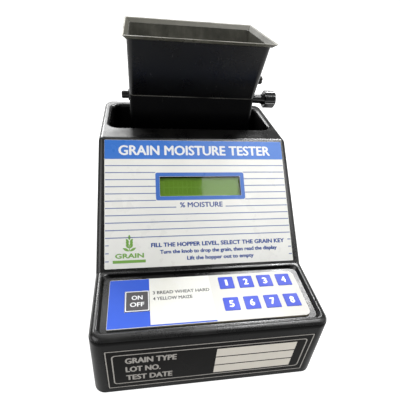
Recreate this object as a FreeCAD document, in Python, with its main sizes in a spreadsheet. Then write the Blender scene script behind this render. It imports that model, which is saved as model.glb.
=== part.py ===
import FreeCAD, Part
import math
import os
from collections import namedtuple
from types import SimpleNamespace

import Sketcher
from FreeCAD import Placement, Rotation, Vector

# Grain moisture meter: a moulded housing with a level keypad deck, a sloped display panel and a deep
# well, and a lift-out sheet hopper whose trap flap drops the sample into a capacitive cell.
# Millimetres. X to the meter's right, Y to its back, Z up. The origin is on the table, at the centre
# of the footprint. "s" runs up the sloped panel from its lower edge, and "n" is the panel's normal.

doc = FreeCAD.newDocument("GrainMoistureMeter")

DIMENSIONS = {
    # Housing
    "housing_width": 159.0,
    "housing_length": 218.0,
    "rim_height": 0.6,
    "deck_height": 59.0,
    "roof_height": 127.8,
    "slope_angle": 41.5,
    "side_draft": 1.3,
    "wall": 2.8,
    "deck_wall": 5.4,
    "corner_radius": 8.0,
    "deck_edge_radius": 4.8,
    "side_edge_radius": 3.8,
    "boss_radius": 4.6,
    # Sloped panel: its lower edge, the printed overlay and the display behind it
    "panel_y": -50.7,
    "panel_z": 60.4,
    "overlay_width": 144.0,
    "overlay_length": 99.7,
    "overlay_thick": 0.5,
    "view_x": 1.7,
    "view_s": 61.6,
    "view_width": 64.5,
    "view_length": 15.9,
    "pane_width": 69.3,
    "pane_length": 20.7,
    "pane_thick": 1.0,
    "bezel_width": 71.2,
    "bezel_length": 24.2,
    "bezel_depth": 5.6,
    "module_width": 80.0,
    "module_length": 36.0,
    "module_hole_x": 37.5,
    "module_hole_s": 15.5,
    "circuit_board": 1.6,
    # Keypad in the deck
    "keypad_width": 135.6,
    "keypad_length": 40.6,
    "keypad_front": -100.1,
    "keypad_floor": 56.5,
    "keypad_corner": 4.0,
    "keypad_left_corner": 1.0,
    "circuit_thick": 0.4,
    "spacer_thick": 0.4,
    "film_thick": 0.5,
    "recess_margin": 4.2,
    "recess_margin_front": 2.1,
    "recess_margin_back": 4.4,
    "recess_slope": 1.6,
    "recess_slope_front": 1.2,
    "recess_corner": 5.5,
    "recess_rim_radius": 1.1,
    "key_width": 10.8,
    "key_length": 11.0,
    "key_radius": 0.6,
    "key_proud": 0.3,
    "key_gap": 0.12,
    "first_key_x": 14.6,
    "upper_keys": 32.5,
    "key_pitch": 14.6,
    "row_pitch": 19.1,
    "power_x": -49.0,
    "power_row": 20.9,
    "power_width": 16.2,
    "power_length": 17.2,
    "label_left": -40.6,
    "label_right": 2.5,
    "label_thick": 0.15,
    # Name plate on the front wall
    "plate_width": 139.0,
    "plate_low": 5.3,
    "plate_high": 48.6,
    "plate_thick": 0.6,
    # Well in the roof, and the measuring cell that stands in it
    "well_width": 139.0,
    "well_front": 46.0,
    "well_back": 99.0,
    "well_floor": 42.0,
    "well_wall": 2.5,
    "well_radius": 9.0,
    "well_rim_radius": 3.0,
    "cell_width": 112.0,
    "cell_front": 50.0,
    "cell_back": 95.0,
    "cell_top": 91.0,
    "cell_seat": 86.0,
    "cell_floor": 47.0,
    "cell_wall": 6.0,
    "electrode_thick": 0.8,
    # Hopper of folded sheet
    "sheet": 1.0,
    "hopper_width": 105.2,
    "neck_front": 53.0,
    "neck_back": 92.0,
    "bend_height": 152.0,
    "mouth_height": 197.5,
    "mouth_front": 32.0,
    "mouth_back": 101.7,
    "lip_height": 200.8,
    "lip_front": 26.8,
    "lip_back": 106.7,
    "lip_width": 110.7,
    "fold_radius": 4.5,
    # Trap flap, its shaft and its stop
    "axis_y": 72.5,
    "axis_z": 146.0,
    "shaft_radius": 2.5,
    "running_gap": 0.05,
    "flap_gap": 0.35,
    "flap_thick": 1.6,
    "barrel_radius": 4.2,
    "bush_radius": 3.8,
    "flange_radius": 4.6,
    "flange_thick": 1.2,
    "knob_radius": 7.65,
    "knob_start": 67.0,
    "knob_end": 77.3,
    "stem_radius": 3.6,
    "cap_end": -59.5,
    "cap_radius": 3.1,
    "stop_y": 69.55,
    "stop_z": 163.7,
    "stop_radius": 2.0,
    "stop_head_radius": 3.5,
    # Base plate, battery compartment and electronics
    "base_low": 2.6,
    "base_thick": 2.0,
    "base_gap": 0.3,
    "side_boss_x": 72.3,
    "end_boss_y": 92.0,
    "bay_width": 64.0,
    "bay_front": 40.0,
    "bay_back": 97.0,
    "door_gap": 0.4,
    "hinge_pin_radius": 0.6,
    "hinge_pin_reach": 1.6,
    "holder_wall": 1.5,
    "holder_top": 23.0,
    "battery_radius": 7.1,
    "battery_length": 50.0,
    "battery_pitch": 16.0,
    "battery_height": 13.2,
    "contact_half": 4.2,
    "battery_gate_x": 30.1,
    "board_width": 120.0,
    "board_front": -92.0,
    "board_back": -22.0,
    "board_low": 12.0,
    "board_hole_x": 52.0,
    "board_hole_inset": 6.0,
    "foot_x": 60.0,
    "foot_front": -86.0,
    "foot_back": 84.0,
    "jack_x": 52.0,
    "jack_z": 26.0,
    "jack_nose": 5.3,
}


class Size:
    """A length with its value, and the spreadsheet expression that drives it."""

    def __init__(self, text, value):
        self.text = text
        self.value = value

    def __add__(self, other):
        return Size("(%s + %s)" % (self.text, text_of(other)), self.value + value_of(other))

    def __sub__(self, other):
        return Size("(%s - %s)" % (self.text, text_of(other)), self.value - value_of(other))

    def __mul__(self, other):
        return Size("(%s * %s)" % (self.text, text_of(other)), self.value * value_of(other))

    def __truediv__(self, other):
        return Size("(%s / %s)" % (self.text, text_of(other)), self.value / value_of(other))

    def __radd__(self, other):
        return as_size(other) + self

    def __rsub__(self, other):
        return as_size(other) - self

    def __rmul__(self, other):
        return as_size(other) * self

    def __neg__(self):
        return 0 - self


def value_of(size):
    return size.value if isinstance(size, Size) else float(size)


def text_of(size):
    return size.text if isinstance(size, Size) else repr(float(size))


def as_size(number):
    return Size(text_of(number), value_of(number))


def make_sheet():
    """Write the driving dimensions to a spreadsheet, and return them by name."""
    sheet = doc.addObject("Spreadsheet::Sheet", "Dims")
    sizes = {}
    for row, (name, number) in enumerate(DIMENSIONS.items(), start=1):
        sheet.set("A%d" % row, name)
        sheet.set("B%d" % row, str(number))
        sheet.setAlias("B%d" % row, name)
        sizes[name] = Size("Dims." + name, number)
    return SimpleNamespace(**sizes)


d = make_sheet()

# Sizes that several sub-parts share
SLOPE = math.radians(value_of(d.slope_angle))
SLOPE_TAN = Size("tan(Dims.slope_angle * 1 deg)", math.tan(SLOPE))
SLOPE_COS = Size("cos(Dims.slope_angle * 1 deg)", math.cos(SLOPE))
front_face = -d.housing_length / 2
back_face = d.housing_length / 2
base_top = d.base_low + d.base_thick
film_top = d.keypad_floor + d.circuit_thick + d.spacer_thick + d.film_thick
key_travel = 0.3
bezel_face = -d.wall
module_face = bezel_face - d.bezel_depth
board_top = d.board_low + d.circuit_board
neck_half = d.hopper_width / 2
neck_inside = neck_half - d.sheet
PANEL = Placement(Vector(0, value_of(d.panel_y), value_of(d.panel_z)),
                  Rotation(Vector(1, 0, 0), value_of(d.slope_angle)))

TURNS = {"x": Rotation(Vector(0, 1, 0), 90), "y": Rotation(Vector(1, 0, 0), -90), "z": Rotation()}
TINY = 0.01
THROUGH = 5.0

# Screw sizes: head radius, shank radius, head height, and how far the shank reaches from under the head
Screw = namedtuple("Screw", "head shank head_height reach")
BASE_SCREW = Screw(head=2.9, shank=1.45, head_height=1.6, reach=12.0)
MODULE_SCREW = Screw(head=2.3, shank=1.2, head_height=1.5, reach=5.4)
CELL_SCREW = Screw(head=2.8, shank=1.5, head_height=1.9, reach=8.0)
BOARD_SCREW = Screw(head=2.8, shank=1.5, head_height=1.8, reach=6.0)
STOP_SCREW = Screw(head=d.stop_head_radius, shank=d.stop_radius, head_height=4.4, reach=13.0)
CROSS_DEPTH = 0.9
CROSS_HALF_LONG = 1.5
CROSS_HALF_WIDE = 0.3

nodes = {}


# ---- Helpers -------------------------------------------------------------------------------------

def drive(item, prop, size):
    """Give one property its size, bound to the sheet where the size comes from it."""
    if isinstance(size, Size):
        item.setExpression(prop, size.text)
    else:
        setattr(item, prop, size)


def put(item, x, y, z):
    item.Placement.Base = Vector(value_of(x), value_of(y), value_of(z))
    for letter, size in zip("xyz", (x, y, z)):
        if isinstance(size, Size):
            item.setExpression("Placement.Base." + letter, size.text)


def block(name, x, y, z):
    """A box between two corners, given as a low and a high value along each axis."""
    item = doc.addObject("Part::Box", name)
    for prop, (low, high) in zip(("Length", "Width", "Height"), (x, y, z)):
        drive(item, prop, as_size(high) - low)
    put(item, x[0], y[0], z[0])
    return item


def rod(name, radius, axis, span, at, end_radius=None):
    """A cylinder, or a cone with end_radius, along an axis. 'at' is its place on the other two axes."""
    kind = "Part::Cylinder" if end_radius is None else "Part::Cone"
    item = doc.addObject(kind, name)
    if end_radius is None:
        drive(item, "Radius", radius)
    else:
        drive(item, "Radius1", radius)
        drive(item, "Radius2", end_radius)
    drive(item, "Height", as_size(span[1]) - span[0])
    item.Placement.Rotation = TURNS[axis]
    place = list(at)
    place.insert("xyz".index(axis), span[0])
    put(item, *place)
    return item


def hexagon(name, flats, span, at, axis="z"):
    item = doc.addObject("Part::Prism", name)
    item.Polygon = 6
    drive(item, "Circumradius", flats / math.sqrt(3))
    drive(item, "Height", as_size(span[1]) - span[0])
    item.Placement.Rotation = TURNS[axis]
    place = list(at)
    place.insert("xyz".index(axis), span[0])
    put(item, *place)
    return item


def frustum(name, low, high, z):
    """A block whose lower and upper rectangles differ: each is (x half width, y front, y back)."""
    item = doc.addObject("Part::Wedge", name)
    drive(item, "Xmin", -as_size(low[0]))
    drive(item, "Xmax", as_size(low[0]))
    drive(item, "X2min", -as_size(high[0]))
    drive(item, "X2max", as_size(high[0]))
    drive(item, "Ymin", as_size(z[0]))
    drive(item, "Ymax", as_size(z[1]))
    drive(item, "Zmin", -as_size(low[2]))
    drive(item, "Zmax", -as_size(low[1]))
    drive(item, "Z2min", -as_size(high[2]))
    drive(item, "Z2max", -as_size(high[1]))
    item.Placement.Rotation = Rotation(Vector(1, 0, 0), 90)
    return item


def fuse(name, *items):
    item = doc.addObject("Part::MultiFuse", name)
    item.Shapes = list(items)
    return item


def cut(name, base, *tools):
    item = doc.addObject("Part::Cut", name)
    item.Base = base
    item.Tool = tools[0] if len(tools) == 1 else fuse(name + "_tools", *tools)
    return item


def group(name, *items):
    """Several separate solids that share one node."""
    item = doc.addObject("Part::Compound", name)
    item.Links = list(items)
    return item


def round_edges(name, base, picks):
    """Fillet the edges that each (test, radius) pair picks. A test reads an edge's middle and direction."""
    doc.recompute()
    chosen = []
    for index, edge in enumerate(base.Shape.Edges, start=1):
        first, last = edge.firstVertex().Point, edge.lastVertex().Point
        run = last - first
        direction = run.normalize() if run.Length > TINY else Vector()
        for test, radius in picks:
            if test((first + last) * 0.5, direction):
                chosen.append((index, value_of(radius), value_of(radius)))
                break
    item = doc.addObject("Part::Fillet", name)
    item.Base = base
    item.Edges = chosen
    return item


def upright(middle, direction):
    return abs(direction.z) > 0.85


def keep(label, item, placement=None):
    """Name a finished sub-part, and place it if it was drawn in another frame."""
    item.Label = label
    if placement is not None:
        item.Placement = placement
    nodes[label] = item
    return item


def new_body(name):
    return doc.addObject("PartDesign::Body", name)


def new_sketch(body, name, role="XY_Plane", height=0):
    sketch = body.newObject("Sketcher::SketchObject", name)
    plane = next(feature for feature in body.Origin.OriginFeatures if feature.Role == role)
    sketch.AttachmentSupport = (plane, [""])
    sketch.MapMode = "FlatFace"
    sketch.AttachmentOffset = Placement(Vector(0, 0, value_of(height)), Rotation())
    if isinstance(height, Size):
        sketch.setExpression("AttachmentOffset.Base.z", height.text)
    return sketch


def constrain(sketch, kind, geometry, size):
    index = sketch.addConstraint(Sketcher.Constraint(kind, *geometry, value_of(size)))
    if isinstance(size, Size):
        sketch.setExpression("Constraints[%d]" % index, size.text)


def draw_rectangle(sketch, width, length, radius, centre=(0, 0)):
    """A rectangle with rounded corners, fully constrained from the sketch's origin."""
    half_x, half_y = value_of(width) / 2, value_of(length) / 2
    cx, cy, r = value_of(centre[0]), value_of(centre[1]), value_of(radius)
    x0, x1, y0, y1 = cx - half_x, cx + half_x, cy - half_y, cy + half_y
    first = sketch.GeometryCount
    corners = [(x1 - r, y0 + r, -90), (x1 - r, y1 - r, 0), (x0 + r, y1 - r, 90), (x0 + r, y0 + r, 180)]
    sides = [((x0 + r, y0), (x1 - r, y0)), ((x1, y0 + r), (x1, y1 - r)),
             ((x1 - r, y1), (x0 + r, y1)), ((x0, y1 - r), (x0, y0 + r))]
    shapes = [Part.LineSegment(Vector(*start), Vector(*end)) for start, end in sides]
    for arc_x, arc_y, angle in corners:
        circle = Part.Circle(Vector(arc_x, arc_y), Vector(0, 0, 1), r)
        shapes.append(Part.ArcOfCircle(circle, math.radians(angle), math.radians(angle + 90)))
    sketch.addGeometry(shapes, False)
    rules = []
    for side in range(4):
        rules.append(Sketcher.Constraint("Tangent", first + side, 2, first + 4 + side, 1))
        rules.append(Sketcher.Constraint("Tangent", first + 4 + side, 2, first + (side + 1) % 4, 1))
        direction = "Horizontal" if side % 2 == 0 else "Vertical"
        rules.append(Sketcher.Constraint(direction, first + side))
    for side in range(1, 4):
        rules.append(Sketcher.Constraint("Equal", first + 4, first + 4 + side))
    sketch.addConstraint(rules)
    constrain(sketch, "Radius", (first + 4,), radius)
    constrain(sketch, "DistanceX", (first + 3, 1, first + 1, 1), width)
    constrain(sketch, "DistanceY", (first, 1, first + 2, 1), length)
    constrain(sketch, "DistanceX", (-1, 1, first + 3, 1), as_size(centre[0]) - as_size(width) / 2)
    constrain(sketch, "DistanceY", (-1, 1, first, 1), as_size(centre[1]) - as_size(length) / 2)


def draw_polygon(sketch, points):
    """A closed outline of straight sides, each corner held from the sketch's origin."""
    first = sketch.GeometryCount
    count = len(points)
    spots = [Vector(value_of(u), value_of(v), 0) for u, v in points]
    lines = [Part.LineSegment(spots[i], spots[(i + 1) % count]) for i in range(count)]
    sketch.addGeometry(lines, False)
    for i in range(count):
        joint = Sketcher.Constraint("Coincident", first + i, 2, first + (i + 1) % count, 1)
        sketch.addConstraint(joint)
    for i, (u, v) in enumerate(points):
        constrain(sketch, "DistanceX", (-1, 1, first + i, 1), u)
        constrain(sketch, "DistanceY", (-1, 1, first + i, 1), v)


def draw_circle(sketch, radius, centre):
    first = sketch.GeometryCount
    middle = Vector(value_of(centre[0]), value_of(centre[1]), 0)
    sketch.addGeometry([Part.Circle(middle, Vector(0, 0, 1), value_of(radius))], False)
    constrain(sketch, "Radius", (first,), radius)
    constrain(sketch, "DistanceX", (-1, 1, first, 3), centre[0])
    constrain(sketch, "DistanceY", (-1, 1, first, 3), centre[1])


def pad(body, name, sketch, length, midplane=False):
    feature = body.newObject("PartDesign::Pad", name)
    feature.Profile = sketch
    drive(feature, "Length", as_size(length))
    if midplane:
        feature.SideType = "Symmetric"
    return feature


def pocket_up(body, name, sketch, length):
    """A pocket that runs up from its sketch."""
    feature = body.newObject("PartDesign::Pocket", name)
    feature.Profile = sketch
    feature.Reversed = True
    drive(feature, "Length", as_size(length))
    return feature


def spin(body, name, sketch, axis_name="V_Axis"):
    feature = body.newObject("PartDesign::Revolution", name)
    feature.Profile = sketch
    feature.ReferenceAxis = (sketch, [axis_name])
    feature.Angle = 360
    return feature


def sheet_body(name, width, length, radius, low, thick, centre, holes=()):
    """A flat sheet with rounded corners and rounded rectangular holes: (width, length, radius, x, y)."""
    body = new_body(name)
    outline = new_sketch(body, name + "_outline", height=low)
    draw_rectangle(outline, width, length, radius, centre)
    pad(body, name + "_pad", outline, thick)
    if holes:
        openings = new_sketch(body, name + "_openings", height=low)
        for hole_width, hole_length, hole_radius, x, y in holes:
            draw_rectangle(openings, hole_width, hole_length, hole_radius, (x, y))
        pocket_up(body, name + "_cut", openings, thick)
    return body


def pan_screw(name, axis, at, seat, screw, sign=1):
    """A pan-head screw: its head stands on 'seat' towards +axis (or -axis), its shank goes the other way."""
    seat = as_size(seat)
    top = seat + sign * screw.head_height
    end = seat - sign * screw.reach
    head_span = (seat, top) if sign > 0 else (top, seat)
    shank_span = (end, seat) if sign > 0 else (seat, end)
    return fuse(name, rod(name + "_head", screw.head, axis, head_span, at),
                rod(name + "_shank", screw.shank, axis, shank_span, at))


def cut_cross(name, item, x, y, face, sign):
    """Cut a cross-head drive into a screw's face. The face looks down when sign is 1."""
    depth = (face - 1, face + CROSS_DEPTH) if sign > 0 else (face - CROSS_DEPTH, face + 1)
    long, wide = CROSS_HALF_LONG, CROSS_HALF_WIDE
    bars = [block("%s_bar_%d" % (name, turn), (x - reach_x, x + reach_x), (y - reach_y, y + reach_y), depth)
            for turn, (reach_x, reach_y) in enumerate(((long, wide), (wide, long)))]
    return cut(name, item, *bars)


# ---- Housing -------------------------------------------------------------------------------------

def casing_solid(name, inset, deck_inset, bottom):
    """The housing's side outline, drawn in by an inset, extruded and cut to its drafted sides."""
    slope_inset = inset / SLOPE_COS
    deck = d.deck_height - deck_inset
    roof = d.roof_height - inset
    fold_y = d.panel_y + (deck - d.panel_z + slope_inset) / SLOPE_TAN
    crest_y = d.panel_y + (roof - d.panel_z + slope_inset) / SLOPE_TAN
    body = new_body(name + "_profile")
    outline = new_sketch(body, name + "_side_view", "YZ_Plane")
    draw_polygon(outline, [(front_face + inset, bottom), (back_face - inset, bottom),
                           (back_face - inset, roof), (crest_y, roof),
                           (fold_y, deck), (front_face + inset, deck)])
    pad(body, name + "_extrusion", outline, d.housing_width, midplane=True)
    lean = d.roof_height * Size("tan(Dims.side_draft * 1 deg)", math.tan(math.radians(value_of(d.side_draft))))
    low_half = d.housing_width / 2 - inset
    sides = frustum(name + "_sides", (low_half, front_face, back_face),
                    (low_half - lean, front_face, back_face), (bottom, d.roof_height + bottom))
    common = doc.addObject("Part::Common", name + "_block")
    common.Base = body
    common.Tool = sides
    return common, fold_y, crest_y


def side_bosses():
    """Six screw bosses that stand off the side walls."""
    bosses = []
    for side in (-1, 1):
        for index, y in enumerate((-d.end_boss_y, as_size(0), d.end_boss_y)):
            bosses.append(rod("boss_%d_%d" % (side + 1, index), d.boss_radius, "z",
                              (base_top, base_top + 20), (side * d.side_boss_x, y)))
    return bosses


def side_boss_holes(name, radius, span):
    holes = []
    for side in (-1, 1):
        for index, y in enumerate((-d.end_boss_y, as_size(0), d.end_boss_y)):
            holes.append(rod("%s_%d_%d" % (name, side + 1, index), radius, "z", span,
                             (side * d.side_boss_x, y)))
    return holes


def module_spots():
    """The four fixing points of the display module, as (x, s) on the panel."""
    return [(d.view_x + side * d.module_hole_x, d.view_s + row * d.module_hole_s)
            for side in (-1, 1) for row in (-1, 1)]


def make_housing():
    outer, fold_y, crest_y = casing_solid("outer", as_size(0), as_size(0), d.rim_height)
    roof, deck, crest = value_of(d.roof_height), value_of(d.deck_height), value_of(crest_y)
    side, back, front = value_of(d.housing_width) / 2 - 2, value_of(back_face), value_of(front_face)

    def corner(middle, direction):
        return upright(middle, direction) and abs(middle.x) > side

    def cross_edge(y, z):
        def test(middle, direction):
            return (abs(direction.x) > 0.9 and abs(middle.y - y) < 0.5 and abs(middle.z - z) < 0.5)
        return test

    def top_side(middle, direction):
        return abs(direction.y) > 0.5 and abs(middle.x) > side - 2 and middle.z > deck - 1

    rounded = round_edges("outer_rounded", outer, [
        (corner, d.corner_radius), (top_side, d.side_edge_radius),
        (cross_edge(front, deck), d.deck_edge_radius), (cross_edge(crest, roof), d.side_edge_radius),
        (cross_edge(back, roof), d.side_edge_radius)])
    inner = round_edges("inner_rounded", casing_solid("inner", d.wall, d.deck_wall, as_size(0))[0],
                        [(upright, d.corner_radius - d.wall)])
    skin = cut("housing_skin", rounded, inner)

    well_half = d.well_width / 2
    tub = round_edges("well_tub", block(
        "well_tub_block", (-well_half - d.well_wall, well_half + d.well_wall),
        (d.well_front - d.well_wall, d.well_back + d.well_wall),
        (d.well_floor - d.well_wall, d.roof_height - d.wall / 2)),
        [(upright, d.well_radius + d.well_wall)])
    bosses = side_bosses()
    module_bosses = []
    for index, (x, s) in enumerate(module_spots()):
        boss = rod("module_boss_%d" % index, 3.0, "z", (module_face, -d.wall / 2), (x, s))
        module_bosses.append(boss)
    panel_bosses = group("module_bosses", *module_bosses)
    panel_bosses.Placement = PANEL
    solid = fuse("housing_solid", skin, tub, panel_bosses, *bosses)

    well = round_edges("well_space", frustum(
        "well_space_block", (well_half - 1, d.well_front + 1, d.well_back - 1),
        (well_half, d.well_front, d.well_back), (d.well_floor, d.roof_height + TINY)),
        [(upright, d.well_radius)])
    half = d.keypad_width / 2 + d.recess_margin
    low = d.keypad_front - d.recess_margin_front
    high = d.keypad_front + d.keypad_length + d.recess_margin_back
    recess = round_edges("keypad_recess", frustum(
        "keypad_recess_block", (half, low, high),
        (half + d.recess_slope, low - d.recess_slope_front, high + d.recess_slope_front),
        (d.keypad_floor, d.deck_height + TINY)), [(upright_or_sloped, d.recess_corner)])
    plate = block("plate_recess", (-d.plate_width / 2 - 0.2, d.plate_width / 2 + 0.2),
                  (front_face - 1, front_face + d.plate_thick), (d.plate_low - 0.2, d.plate_high + 0.2))
    tail_slot = block("tail_slot", (-20, 0), (-61.2, -58.8), (d.keypad_floor - THROUGH, d.keypad_floor + 1))
    jack_hole = rod("jack_hole", d.jack_nose + 0.3, "y", (back_face - THROUGH, back_face + 1),
                    (d.jack_x, d.jack_z))
    panel_cuts = group("panel_cuts", *panel_openings())
    panel_cuts.Placement = PANEL
    boss_holes = side_boss_holes("boss_hole", 1.5, (base_top - 1, base_top + 16))
    cell_holes = [rod("well_hole_%d" % index, 1.6, "z", (d.well_floor - THROUGH, d.well_floor + 1), spot)
                  for index, spot in enumerate(cell_screw_spots())]
    wire_hole = rod("well_wire_hole", 3.2, "z", (d.well_floor - THROUGH, d.well_floor + 1), lead_gate())

    def well_rim(middle, direction):
        return (abs(middle.z - roof) < TINY and abs(middle.x) < value_of(well_half) + 1
                and value_of(d.well_front) - 1 < middle.y < value_of(d.well_back) + 1)

    def recess_rim(middle, direction):
        return (abs(middle.z - deck) < TINY and abs(middle.x) < value_of(half + d.recess_slope) + TINY
                and value_of(low - d.recess_slope_front) - TINY < middle.y
                < value_of(high + d.recess_slope_front) + TINY)

    hollowed = round_edges("housing_hollowed", cut("housing_block", solid, well, recess),
                           [(well_rim, d.well_rim_radius), (recess_rim, d.recess_rim_radius)])
    keep("housing_shell", cut("housing_shell", hollowed, plate, tail_slot, jack_hole,
                              panel_cuts, wire_hole, *boss_holes, *cell_holes))


def upright_or_sloped(middle, direction):
    """The four side edges of a shallow recess, which lean out along both axes."""
    return min(abs(direction.x), abs(direction.y)) > 0.1


def panel_openings():
    """Recess for the overlay, recess for the pane, window, and pilot holes, in the panel's frame."""
    overlay = block("overlay_recess", (-d.overlay_width / 2 - 0.2, d.overlay_width / 2 + 0.2),
                    (-0.2, d.overlay_length + 0.2), (-d.overlay_thick, 1))
    pane = block("pane_recess", *around_view(d.pane_width + 0.4, d.pane_length + 0.4),
                 (-d.overlay_thick - d.pane_thick, 0))
    window = block("window_opening", *around_view(d.view_width + 1.5, d.view_length + 1.5),
                   (-THROUGH, 0))
    pilots = [rod("module_pilot_%d" % index, 1.25, "z", (module_face - 1, module_face + 4.4), spot)
              for index, spot in enumerate(module_spots())]
    return [overlay, pane, window] + pilots


def around_view(width, length):
    """The x and s spans of a rectangle centred on the display's view."""
    return ((d.view_x - width / 2, d.view_x + width / 2), (d.view_s - length / 2, d.view_s + length / 2))


# ---- Base ----------------------------------------------------------------------------------------

FOOT_SPOTS = [(x, y) for y in (d.foot_front, d.foot_back) for x in (-d.foot_x, d.foot_x)]


def make_base_plate():
    inset = d.wall + d.base_gap
    body = new_body("base_plate")
    outline = new_sketch(body, "base_outline", height=d.base_low)
    draw_rectangle(outline, d.housing_width - 2 * inset, d.housing_length - 2 * inset,
                   d.corner_radius - d.wall)
    pad(body, "base_pad", outline, d.base_thick)
    openings = new_sketch(body, "base_openings", height=d.base_low)
    draw_rectangle(openings, d.bay_width, d.bay_back - d.bay_front, 1.0,
                   (0, (d.bay_front + d.bay_back) / 2))
    for x, y in FOOT_SPOTS:
        draw_circle(openings, 2.5, (x, y))
    for x in (-d.side_boss_x, d.side_boss_x):
        for y in (-d.end_boss_y, as_size(0), d.end_boss_y):
            draw_circle(openings, 1.8, (x, y))
    pocket_up(body, "base_cut", openings, d.base_thick)
    keep("base_plate", cut("base_plate", body, *hinge_pins("pin_socket", d.hinge_pin_radius + 0.08,
                                                           d.hinge_pin_reach + 0.2)))


def hinge_line():
    """The battery door's hinge axis: (y, z)."""
    return (d.bay_front + d.door_gap + d.base_thick / 2, d.base_low + d.base_thick / 2)


def hinge_pins(name, radius, reach):
    """Two short pins, or their sockets, that run out from the ends of the door's rounded edge."""
    end = d.bay_width / 2 - d.door_gap - 0.5
    far = d.bay_width / 2 + reach
    return [rod(name + "_0", radius, "x", (-far, -end), hinge_line()),
            rod(name + "_1", radius, "x", (end, far), hinge_line())]


def make_base_screws():
    screws = []
    for side in (-1, 1):
        for index, y in enumerate((-d.end_boss_y, as_size(0), d.end_boss_y)):
            name = "base_screw_%d_%d" % (side + 1, index)
            screw = pan_screw(name, "z", (side * d.side_boss_x, y), d.base_low, BASE_SCREW, sign=-1)
            face = d.base_low - BASE_SCREW.head_height
            screws.append(cut_cross(name + "_driven", screw, side * d.side_boss_x, y, face, 1))
    keep("base_screws", group("base_screws", *screws))


def make_rubber_feet():
    """Tapered feet with a groove and a push-in stud that snaps through the base plate."""
    feet = []
    low, top = d.base_low, base_top
    outline_points = [(0, 0), (5.6, 0), (6.3, 0.5), (7.0, low), (2.4, low), (2.4, top),
                      (3.3, top + 0.3), (2.2, top + 2.6), (0, top + 2.6)]
    for index, (x, y) in enumerate(FOOT_SPOTS):
        body = new_body("rubber_foot_%d" % index)
        outline = new_sketch(body, "foot_outline_%d" % index, "XZ_Plane")
        draw_polygon(outline, outline_points)
        spin(body, "foot_turning_%d" % index, outline)
        put(body, x, y, 0)
        feet.append(body)
    keep("rubber_feet", group("rubber_feet", *feet))


def make_battery_compartment():
    half = d.bay_width / 2
    wall = d.holder_wall
    shell = block("holder_block", (-half - wall, half + wall), (d.bay_front - wall, d.bay_back + wall),
                  (base_top, d.holder_top))
    space = block("holder_space", (-half, half), (d.bay_front, d.bay_back),
                  (base_top - 1, d.holder_top - wall))
    ribs = []
    for index in (-1, 0, 1):
        x = index * d.battery_pitch
        ribs.append(block("holder_rib_%d" % (index + 1), (x - 0.5, x + 0.5), (52, 58),
                          (d.battery_height + 3, d.holder_top - wall / 2)))
    gate = block("holder_gate", (d.battery_gate_x - 1.9, d.battery_gate_x + 1.9),
                 (d.bay_front - wall - 1, d.bay_front + 1), (d.battery_height + 1.8, d.battery_height + 4.8))
    keep("battery_holder", cut("battery_holder", fuse("holder_ribbed", cut(
        "holder_shell", shell, space), *ribs), gate))

    gap = d.door_gap
    hinge_y, hinge_z = hinge_line()
    plate = block("door_plate", (-half + gap, half - gap), (hinge_y, d.bay_back - gap), (d.base_low, base_top))
    edge = rod("door_edge", d.base_thick / 2, "x", (-half + gap, half - gap), (hinge_y, hinge_z))
    door = fuse("door_blank", plate, edge, *hinge_pins("door_pin", d.hinge_pin_radius, d.hinge_pin_reach))
    notch = rod("door_notch", 6.0, "z", (d.base_low - 1, d.base_low + 0.8), (0, d.bay_back - gap))
    grips = [block("door_grip_%d" % index, (-9, 9), (82 - 3 * index, 83.2 - 3 * index),
                   (d.base_low - 1, d.base_low + 0.6)) for index in range(4)]
    keep("battery_door", cut("battery_door", door, notch, *grips))


def cell_lanes():
    """Each battery's x, and whether its plus end points back."""
    return [((index - 1.5) * d.battery_pitch, index % 2 == 0) for index in range(4)]


def make_batteries():
    middle = (d.bay_front + d.bay_back) / 2
    nub, nub_radius = 1.2, 2.7
    stud_radius, spring_wide, spring_narrow = 2.0, 4.1, 2.4
    batteries, contacts = [], []
    for index, (x, plus_back) in enumerate(cell_lanes()):
        sign = 1 if plus_back else -1
        low = middle - d.battery_length / 2
        high = middle + d.battery_length / 2
        can = (low, high - nub) if plus_back else (low + nub, high)
        cap = (high - nub, high) if plus_back else (low, low + nub)
        at = (x, d.battery_height)
        batteries.append(fuse("battery_%d" % index,
                              rod("battery_can_%d" % index, d.battery_radius, "y", can, at),
                              rod("battery_nub_%d" % index, nub_radius, "y", cap, at)))
        for end, wall_y in ((-1, d.bay_front), (1, d.bay_back)):
            tab = (wall_y + 0.05, wall_y + 0.45) if end < 0 else (wall_y - 0.45, wall_y - 0.05)
            plate = block("contact_%d_%d" % (index, end + 1), (x - d.contact_half, x + d.contact_half), tab,
                          (d.battery_height - 5, d.battery_height + 5))
            reach = (wall_y + 0.4, low) if end < 0 else (high, wall_y - 0.4)
            if end == sign:
                touch = rod("contact_stud_%d_%d" % (index, end + 1), stud_radius, "y", reach, at)
            else:
                near, far = (spring_wide, spring_narrow) if end < 0 else (spring_narrow, spring_wide)
                touch = rod("contact_spring_%d_%d" % (index, end + 1), near, "y", reach, at, far)
            contacts.append(fuse("contact_pair_%d_%d" % (index, end + 1), plate, touch))
    keep("battery_cells", group("battery_cells", *batteries))
    keep("battery_contacts", group("battery_contacts", *contacts))


# ---- Display -------------------------------------------------------------------------------------

def make_panel_overlay():
    body = sheet_body("panel_overlay", d.overlay_width, d.overlay_length, 0.8, -d.overlay_thick,
                      d.overlay_thick, (0, d.overlay_length / 2),
                      [(d.view_width, d.view_length, 0.8, d.view_x, d.view_s)])
    keep("panel_overlay", body, PANEL)


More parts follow.
